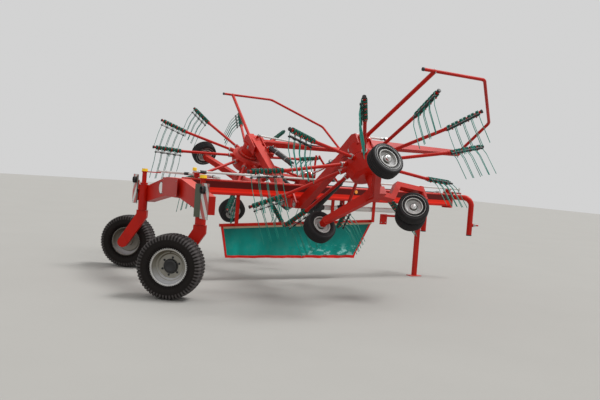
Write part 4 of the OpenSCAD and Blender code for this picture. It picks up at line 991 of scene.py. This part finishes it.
def makeFramePins(look):
    # pin ends of the booms, the cylinders and the stand, bolts on the drive hangers, caps on the lever posts
    shape = Shape()
    x0, y0, z0 = look["boom"]
    x1, y1, z1 = look["cylinder"]
    for x in (-1, 1):
        for y in (-1, 1):
            pinHead(shape, machine(x * x0, y0 + y * 0.1352, z0), (0, y, 0), 0.029)
            shape.box(machine(x * x0 - 0.012, y0 + y * 0.146 - 0.003, z0 + 0.022),
                      machine(x * x0 + 0.012, y0 + y * 0.146 + 0.003, z0 + 0.060), 1)
            shape.bolt(machine(x * x0, y0 + y * 0.149, z0 + 0.050), (0, y, 0), 0.008, 0)
            pinHead(shape, machine(x * x1, y1 + y * 0.0973, z1), (0, y, 0), 0.018)
            shape.bolt(machine(x * x1, y1 + y * 0.0973, z1 - 0.050), (0, y, 0), 0.007, 0)
    out, half, up = look["hangerBolt"]
    for place in look["hangers"]:
        for x in (-1, 1):
            for y in (-1, 1):
                shape.bolt(machine(x * out, place + y * half, up), (0, y, 0), 0.008, 0)
    for y in look["posts"]:
        shape.lathe([(0.0, 0.0), (0.0, 0.040), (0.005, 0.040), (0.006, 0.022), (0.018, 0.020), (0.020, 0.0)],
                    32, 0, facing(machine(0, y, look["postTop"]), (0, 0, 1)))
    pinHead(shape, machine(*look["stand"]), (-1, 0, 0), 0.017)
    shape.piece("frame.pins", "frame", ["zinc", "red"])


def makeBrackets(look):
    # hose guide that stands on the beam, and the curtain's front stay
    shape = Shape()
    for path in look["guide"]:
        shape.tube([machine(look["x"], y, z) for y, z in path], look["guideRadius"], 16, 0)
    (y0, z0), (y1, z1) = look["plate"]
    shape.box(machine(-0.008, y0, z0), machine(0.008, y1, z1), 0, None, 0.002)
    shape.tube([machine(0, y, z) for y, z in look["stay"]], look["stayRadius"], 16, 0)
    for y in (y0 + 0.03, y1 - 0.03):
        shape.bolt(machine(0.008, y, z0 + 0.035), (1, 0, 0), 0.008, 1)
    shape.piece("frame.brackets", "frame", ["red", "zinc"])


reflectorLook = {"out": 0.1000, "ahead": 3.257, "up": 1.490}


def makeReflectors(look):
    # a round amber reflector on each side of the beam
    for side, sign in sides.items():
        seat = facing(machine(sign * look["out"], look["ahead"], look["up"]), (sign, 0, 0))
        shape = Shape()
        shape.lathe([(0.0, 0.0), (0.0, 0.034), (0.006, 0.033), (0.0075, 0.030)], 40, 1, seat)
        shape.lathe([(0.0075, 0.030), (0.009, 0.024), (0.010, 0.0)], 40, 0, seat)
        shape.piece("reflectors." + side, "frame", ["amber", "plastic"])


# a sleeve ends near and far from the rod's eyes, and so leaves room for the levers at full steer
rodLook = {"rod": 0.0142, "eye": 0.024,
           "tie": {"height": 1.605, "turnbuckle": 0.457, "sleeve": 0.0200, "near": 0.320, "far": 0.190},
           "drag": {"height": 1.655, "turnbuckle": 0.06, "sleeve": 0.0168, "near": 0.170, "far": 0.170}}


def makeTurnbuckles(look):
    # length adjusters and sleeves of the two tie rods and of the drag links
    r, eye = look["rod"], look["eye"]
    for name, start in (("tie_rod_right", "tie_rod_pivot_right"), ("tie_rod_left", "tie_rod_pivot_left"),
                        ("drag_link_rear", "drag_link_rear_pivot"),
                        ("drag_link_front", "drag_link_front_pivot")):
        height, share, thick, near, far = look[name.split("_")[0]].values()
        low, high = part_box(name)
        home = Vector(joints[start]["pos_m"])
        farX = low.x + eye if abs(low.x - home.x) > abs(high.x - home.x) else high.x - eye
        farY = low.y + eye if abs(low.y - home.y) > abs(high.y - home.y) else high.y - eye
        first, last = Vector((home.x, home.y, height)), Vector((farX, farY, height))
        span = (last - first).length
        sleeve, seat = facing(first, last - first), facing(first.lerp(last, share), last - first)
        shape = Shape()
        shape.lathe([(near, r), (near + 0.004, thick), (span - far - 0.004, thick), (span - far, r)], 24, 2,
                    sleeve)
        shape.lathe([(-0.050, r), (-0.050, 0.024), (-0.046, 0.0265), (0.046, 0.0265), (0.050, 0.024),
                     (0.050, r)], 6, 0, seat)
        for at, nut, where in ((-0.066, 0.022, seat), (0.054, 0.022, seat), (near - 0.016, 0.020, sleeve),
                               (span - far + 0.004, 0.020, sleeve)):
            shape.lathe([(at, r), (at, nut), (at + 0.012, nut), (at + 0.012, r)], 6, 1, where)
        shape.piece("turnbuckle." + name, name, ["dark", "zinc", "rod"])


headLook = {"bolts": 12, "boltCircle": 0.184, "boltTop": 0.1972, "hoop": (1.640, 0.150, 0.420)}


def makeRotorTrim(side, look):
    # bolts and clamps of the boom's gear head, the chassis and the guard, on the rotor's own axes
    place = rotorAxes(side)
    shape = Shape()
    for i in range(look["bolts"]):
        angle = math.radians(15 + 30 * i)
        shape.bolt((look["boltCircle"] * math.cos(angle), look["boltCircle"] * math.sin(angle),
                    look["boltTop"]), (0, 0, 1), 0.007, 0, place)
    for v in (-1, 1):
        pinHead(shape, (-0.075, v * 0.1262, 0.352), (0, v, 0), 0.024, 0, place)
    for u in (-0.062, 0.062):
        for n in (0.385, 0.455):
            shape.bolt((u, 0.1995, n), (0, 1, 0), 0.009, 0, place)
    for v in (-0.034, 0.034):
        for n in (0.368, 0.432):
            shape.bolt((0.2215, v, n), (1, 0, 0), 0.009, 0, place)
    for x in (-1, 1):
        shape.bolt((x * 0.6595, -0.430, -0.480), (-x, 0, 0), 0.016, 0, place)
        shape.bolt((x * 0.600, -0.372, -0.447), (0, 1, 0), 0.009, 0, place)
    shape.piece("head.bolts." + side, "boom_" + side, ["zinc"])
    hoop = Shape()
    x, y, z = look["hoop"]
    hoop.lathe([(-0.016, 0.0225), (-0.016, 0.0245), (0.004, 0.0245), (0.007, 0.021), (0.008, 0.0)], 28, 0,
               place @ facing((x, y - 0.200, z), (0, -1, 0)))
    hoop.lathe([(-0.004, 0.0), (-0.004, 0.029), (0.002, 0.029), (0.004, 0.026), (0.004, 0.0)], 28, 0,
               place @ facing((x, y, z), (1.4345, 0.150, 0.020)))
    hoop.bolt((x, y, z + 0.0225), (0, 0, 1), 0.011, 1, place)
    hoop.bolt((x, y, z - 0.0225), (0, 0, -1), 0.009, 1, place)
    hoop.piece("hoop.ends." + side, "boom_" + side, ["plastic", "zinc"])


strutLook = {"right": {"start": (0.0, 0.03, 0.556), "joint": (0.0, 0.46, 0.548), "end": (0.0, 0.54, 0.546)},
             "left": {"start": (0.0, 0.05, 0.572), "joint": (0.0, 1.10, 0.481), "end": (0.0, 1.56, 0.441)}}


def makeStrut(side, look):
    # plated strut over the front beam, with a black cover at its far end and an eye at the near one
    place = rotorAxes(side)
    start, middle, end = (Vector(look[k]) for k in ("start", "joint", "end"))
    along = (end - start).normalized()
    shape = Shape()
    shape.tube([start + along * 0.03, middle], 0.0165, 20, 1, place)
    shape.tube([middle - along * 0.02, middle + along * 0.02], 0.0215, 20, 0, place)
    shape.tube([middle, end], [0.0145, 0.0145], 16, 2, place)
    for at in (start, end):
        shape.tube([at - Vector((0.022, 0, 0)), at + Vector((0.022, 0, 0))], 0.022, 20, 0, place)
        foot = axes(at + Vector((0.028, 0.0, -0.085)), Vector((0, 1, 0)), Vector((0, 0, 1)),
                    Vector((1, 0, 0)))
        shape.slab([(-0.030, 0.0), (0.030, 0.0), (0.016, 0.075), (-0.016, 0.075)], -0.004, 0.004, 3,
                   place @ foot, 0.001)
    shape.piece("beam.strut." + side, "boom_" + side, ["zinc", "rod", "plastic", "red"])


socketLook = {"up": 0.075, "tilt": 4.99, "seamBolts": 12, "seam": (0.258, 0.1415)}


def makeSockets(side, look):
    # clamp ring and cross bolt where each tine arm leaves the drum, and the bolts of the drum's seam
    shape = Shape()
    for number in range(rotorSizes["arms"]):
        seat = (armAxes(side, number) @ Matrix.Translation((rotorSizes["socketAt"], 0, look["up"])) @
                Matrix.Rotation(math.radians(look["tilt"]), 4, "Y"))
        shape.lathe([(-0.010, 0.0378), (-0.010, 0.0405), (0.0015, 0.0405), (0.0035, 0.0385),
                     (0.0035, 0.0242)], 28, 0, seat)
        shape.bolt((-0.030, 0.0382, 0.0), (0, 1, 0), 0.009, 0, seat)
        shape.bolt((-0.030, -0.0382, 0.0), (0, -1, 0), 0.008, 0, seat)
        shape.tube([(-0.030, 0.0, 0.036), (-0.030, 0.0, 0.046)], 0.005, 8, 0, seat)
    out, up = look["seam"]
    for number in range(look["seamBolts"]):
        seat = rotorAxes(side) @ Matrix.Rotation(math.tau * number / look["seamBolts"], 4, "Z")
        shape.bolt((out, 0.0, up), (0.4, 0, 1), 0.0055, 1, seat)
    shape.piece("socket.clamps." + side, "rotor_" + side, ["zinc", "armRed"])


cylinderLook = {"barrel": 0.843, "radius": 0.040, "gland": 0.0435}


def makeCylinderTrim(side, look):
    # gland, weld ring, ports and feed pipe of a lift cylinder
    eye = Vector(joints["lift_barrel_pivot_" + side]["pos_m"])
    along = Vector(joints["lift_rod_slide_" + side]["axis"]).normalized()
    if along.x * sides[side] > 0:
        along = -along
    up = Vector((0, 1, 0)).cross(along)
    up = up if up.z > 0 else -up
    seat = axes(eye, along, Vector((0, 1, 0)), up)
    barrel, r, gland = look["barrel"], look["radius"], look["gland"]
    shape = Shape()
    shape.lathe([(barrel - 0.062, r + 0.0002), (barrel - 0.060, gland), (barrel - 0.004, gland),
                 (barrel + 0.002, gland - 0.003), (barrel + 0.002, 0.024), (barrel - 0.001, 0.0217)], 40, 0,
                seat)
    shape.lathe([(0.046, r + 0.0002), (0.050, r + 0.004), (0.058, r + 0.004), (0.062, r + 0.0002)], 40, 0,
                seat)
    for at in (0.085, barrel - 0.085):
        shape.tube([(at, 0.0, r - 0.002), (at, 0.0, r + 0.018)], 0.013, 12, 0, seat)
        shape.lathe([(0.0, 0.0), (0.0, 0.015), (0.014, 0.015), (0.015, 0.009), (0.020, 0.009), (0.020, 0.0)],
                    6, 1, seat @ facing((at, 0.0, r + 0.014), (0, 0, 1)))
    shape.tube([(barrel - 0.085, 0.0, r + 0.030), (barrel - 0.10, 0.0, r + 0.036),
                (barrel - 0.13, 0.0, r + 0.030), (barrel - 0.16, 0.006, r + 0.012), (0.30, 0.010, r + 0.009),
                (0.17, 0.014, r + 0.012), (0.13, 0.016, r + 0.020)], 0.006, 10, 1, seat)
    for at in (0.28, barrel - 0.22):
        shape.lathe([(at, r + 0.0002), (at, r + 0.0018), (at + 0.018, r + 0.0018), (at + 0.018, r + 0.0002)],
                    40, 1, seat)
    for v in (-1, 1):
        pinHead(shape, (0.0, v * 0.0552, 0.0), (0, v, 0), 0.0148, 1, seat)
    shape.piece("cylinder.trim." + side, "lift_barrel_" + side, ["dark", "zinc"])


shaftLook = {"ribs": (0.066, 0.082, 0.098, 0.114, 0.130), "length": 1.5834,
             "farRibs": ((0.066, 0.0372), (0.052, 0.0398), (0.038, 0.0422), (0.024, 0.0446), (0.010, 0.0470))}


def makeShaftTrim(side, look):
    # ribbed guard rings on both tubes of a rotor's drive shaft
    inner, outer = joints["shaft_swing_" + side], joints["shaft_slide_" + side]
    along = Vector(outer["axis"]).normalized()
    if along.x * sides[side] < 0:
        along = -along
    seat = facing(Vector(inner["pos_m"]), along)
    shape = Shape()
    for at in look["ribs"]:
        shape.lathe([(at, 0.0422), (at + 0.002, 0.0462), (at + 0.007, 0.0462), (at + 0.010, 0.0422)], 36, 0,
                    seat)
    shape.lathe([(0.845, 0.0422), (0.848, 0.0455), (0.884, 0.0455), (0.8875, 0.0430)], 36, 0, seat)
    shape.piece("shaft.rings.inner." + side, "shaft_inner_" + side, ["plastic"])
    shape = Shape()
    for back, r in look["farRibs"]:
        at = look["length"] - back
        shape.lathe([(at, r - 0.002), (at + 0.002, r + 0.002), (at + 0.006, r + 0.0024),
                     (at + 0.009, r - 0.001)], 36, 0, seat)
    shape.piece("shaft.rings.outer." + side, "shaft_outer_" + side, ["plastic"])


driveLook = {"height": 1.200, "sideCovers": (0.1198, 2.456), "endCovers": ((2.3308, -1), (2.5812, 1)),
             "bellows": ((2.598, 1), (3.040, -1), (3.080, 1), (4.320, -1), (4.598, -1)), "bellowRibs": 5,
             "yoke": 4.602, "guards": ((2.690, 2.950), (3.170, 4.230), (4.385, 4.510))}


def makeDriveTrim(look):
    # bearing covers and plugs of the angle gearbox, and guards of the drive line
    shape = Shape()
    height = look["height"]
    out, ahead = look["sideCovers"]
    for x in (-1, 1):
        seat = facing(machine(x * out, ahead, height), (x, 0, 0))
        shape.lathe([(0.0, 0.0), (0.0, 0.078), (0.006, 0.076), (0.008, 0.060), (0.008, 0.0)], 40, 0, seat)
        shape.boltCircle(0.0062, 0.068, 6, 0, 0.006, 1, seat)
    for y, way in look["endCovers"]:
        seat = facing(machine(0, y, height), (0, way, 0))
        shape.lathe([(0.0, 0.0), (0.0, 0.092), (0.010, 0.090), (0.016, 0.060), (0.016, 0.034)], 40, 0, seat)
        shape.boltCircle(0.010, 0.080, 8, 22.5, 0.007, 1, seat)
    shape.bolt(machine(0.09, 2.33, 1.130), (0, -1, 0), 0.012, 1)
    shape.bolt(machine(0.1, 2.50, 1.3052), (0, 0, 1), 0.010, 1)
    for y, way in look["bellows"]:
        profile = [(0.0, 0.034), (0.002, 0.058)]
        for rib in range(look["bellowRibs"]):
            at, less = 0.004 + rib * 0.018, rib * 0.004
            profile += [(at, 0.060 - less), (at + 0.010, 0.0585 - less), (at + 0.014, 0.0545 - less)]
        shape.lathe(profile + [(0.096, 0.036), (0.100, 0.0322)], 36, 2,
                    facing(machine(0, y, height), (0, way, 0)))
    shape.lathe([(0.0, 0.0178), (0.0, 0.030), (0.052, 0.032), (0.054, 0.0178)], 6, 1,
                facing(machine(0, look["yoke"], height), (0, 1, 0)))
    for first, last in look["guards"]:
        long = last - first
        shape.lathe([(0.0, 0.0324), (0.0, 0.0400), (0.004, 0.0410), (long - 0.004, 0.0410), (long, 0.0400),
                     (long, 0.0324)], 36, 3, facing(machine(0, first, height), (0, 1, 0)))
    shape.piece("drive.covers", "frame", ["dark", "zinc", "plastic", "rod"])


headstockLook = {"turned": 42, "link": (0.250, 1.000), "pin": (0.4956, 0.535), "linch": 0.521, "leg": 0.425,
                 "legLow": 0.812, "capLow": 1.645}


def makeHeadstockTrim(look):
    # lower link pins with their linch pins, tube plugs and the pivot's cap, on the headstock's own axes:
    # X to its right, Y ahead, as it stands at rest
    pivot = Vector(joints["headstock_yaw"]["pos_m"])
    place = (Matrix.Translation((pivot.x, pivot.y, 0.0)) @
             Matrix.Rotation(math.radians(look["turned"]), 4, "Z"))
    (y, z), (inner, outer) = look["link"], look["pin"]
    shape = Shape()
    for x in (-1, 1):
        shape.lathe([(0.0, 0.0142), (0.0, 0.030), (0.006, 0.030), (0.007, 0.0147), (0.0385, 0.0147),
                     (0.0395, 0.0138)], 28, 0, place @ facing((x * inner, y, z), (x, 0, 0)))
        shape.lathe([(-0.001, 0.0), (-0.001, 0.0146), (0.003, 0.0146), (0.006, 0.011), (0.006, 0.0)], 24, 0,
                    place @ facing((x * outer, y, z), (x, 0, 0)))
        linch, leg = x * look["linch"], x * look["leg"]
        shape.tube([(linch, y, z + 0.030), (linch, y, z - 0.028)], 0.005, 10, 0, place)
        ring = [(linch + 0.004 * x * math.sin(math.tau * i / 24), y + 0.022 * math.sin(math.tau * i / 24),
                 z + 0.002 + 0.030 * math.cos(math.tau * i / 24)) for i in range(25)]
        shape.tube(ring, 0.0022, 6, 0, place, False)
        shape.lathe([(-0.004, 0.0), (-0.004, 0.0508), (0.012, 0.0508), (0.014, 0.048), (0.014, 0.0)], 36, 1,
                    place @ facing((leg, y, look["legLow"]), (0, 0, -1)))
        shape.box((leg - 0.012, y + 0.043, z - 0.065), (leg + 0.012, y + 0.053, z + 0.065), 2, place)
    shape.lathe([(0.0, 0.0), (0.0, 0.060), (0.010, 0.060), (0.012, 0.050), (0.022, 0.047), (0.024, 0.0)], 40,
                0, place @ facing((0, 0, look["capLow"]), (0, 0, 1)))
    shape.tube([(0, 0, look["capLow"] + 0.023), (0, 0, look["capLow"] + 0.035)], 0.006, 8, 0, place)
    for x in (-1, 1):
        for up in (1.3256, 1.5900):
            for ahead in (0.15, 0.205):
                shape.bolt((x * 0.0625, ahead, up), (0, 0, 1), 0.010, 0, place)
    shape.piece("headstock.pins", "headstock", ["zinc", "plastic", "red"])


hoseLook = {"radius": 0.0072, "at": (-0.066, -0.050), "top": 1.560, "clips": (5.05, 4.45, 3.85, 3.25, 2.80)}


def makeHoses(look):
    # two hoses clipped along the beam, from the bulkhead block to the cylinders' tee
    shape = Shape()
    r = look["radius"]
    z = look["top"] + r
    for k, x in enumerate(look["at"]):
        path = [machine(x, 5.17, z + 0.006), machine(x, 5.12, z + 0.003)]
        for i in range(40):
            path.append(machine(x + 0.0012 * math.sin(2.1 * i + k), 5.07 - i * 0.064,
                                z + 0.0006 * math.sin(1.7 * i)))
        path.append(machine(x, 2.535, z + 0.003))
        shape.tube(path, r, 10, 0)
        for y, lift, way in ((5.166, 0.006, 1), (2.540, 0.003, -1)):
            shape.lathe([(0.0, r), (0.0, 0.0098), (0.026, 0.0098), (0.028, r)], 6, 1,
                        facing(machine(x, y, z + lift), (0, way, 0)))
    shape.box(machine(-0.086, 5.192, 1.558), machine(-0.032, 5.232, 1.592), 1)
    shape.box(machine(-0.082, 2.472, 1.558), machine(-0.034, 2.514, 1.5735), 1)
    for y in look["clips"]:
        shape.box(machine(-0.080, y - 0.011, 1.559), machine(-0.036, y + 0.011, 1.5755), 2, None, 0.004)
    shape.piece("beam.hoses", "frame", ["hose", "zinc", "plastic"])


makeBoards(boardLook)
makeLamps(lampLook)
makePlates(plateLook)
makeCaps(capLook)
makeBrackets(bracketLook)
print("boards, lamps, plates, caps and brackets made")
makeFramePins(pinLook)
makeReflectors(reflectorLook)
makeTurnbuckles(rodLook)
makeDriveTrim(driveLook)
makeHeadstockTrim(headstockLook)
makeHoses(hoseLook)
for side in sides:
    makeRotorTrim(side, headLook)
    makeSockets(side, socketLook)
    makeCylinderTrim(side, cylinderLook)
    makeShaftTrim(side, shaftLook)
    makeStrut(side, strutLook[side])
print("pins, bolts, guards and hoses made")
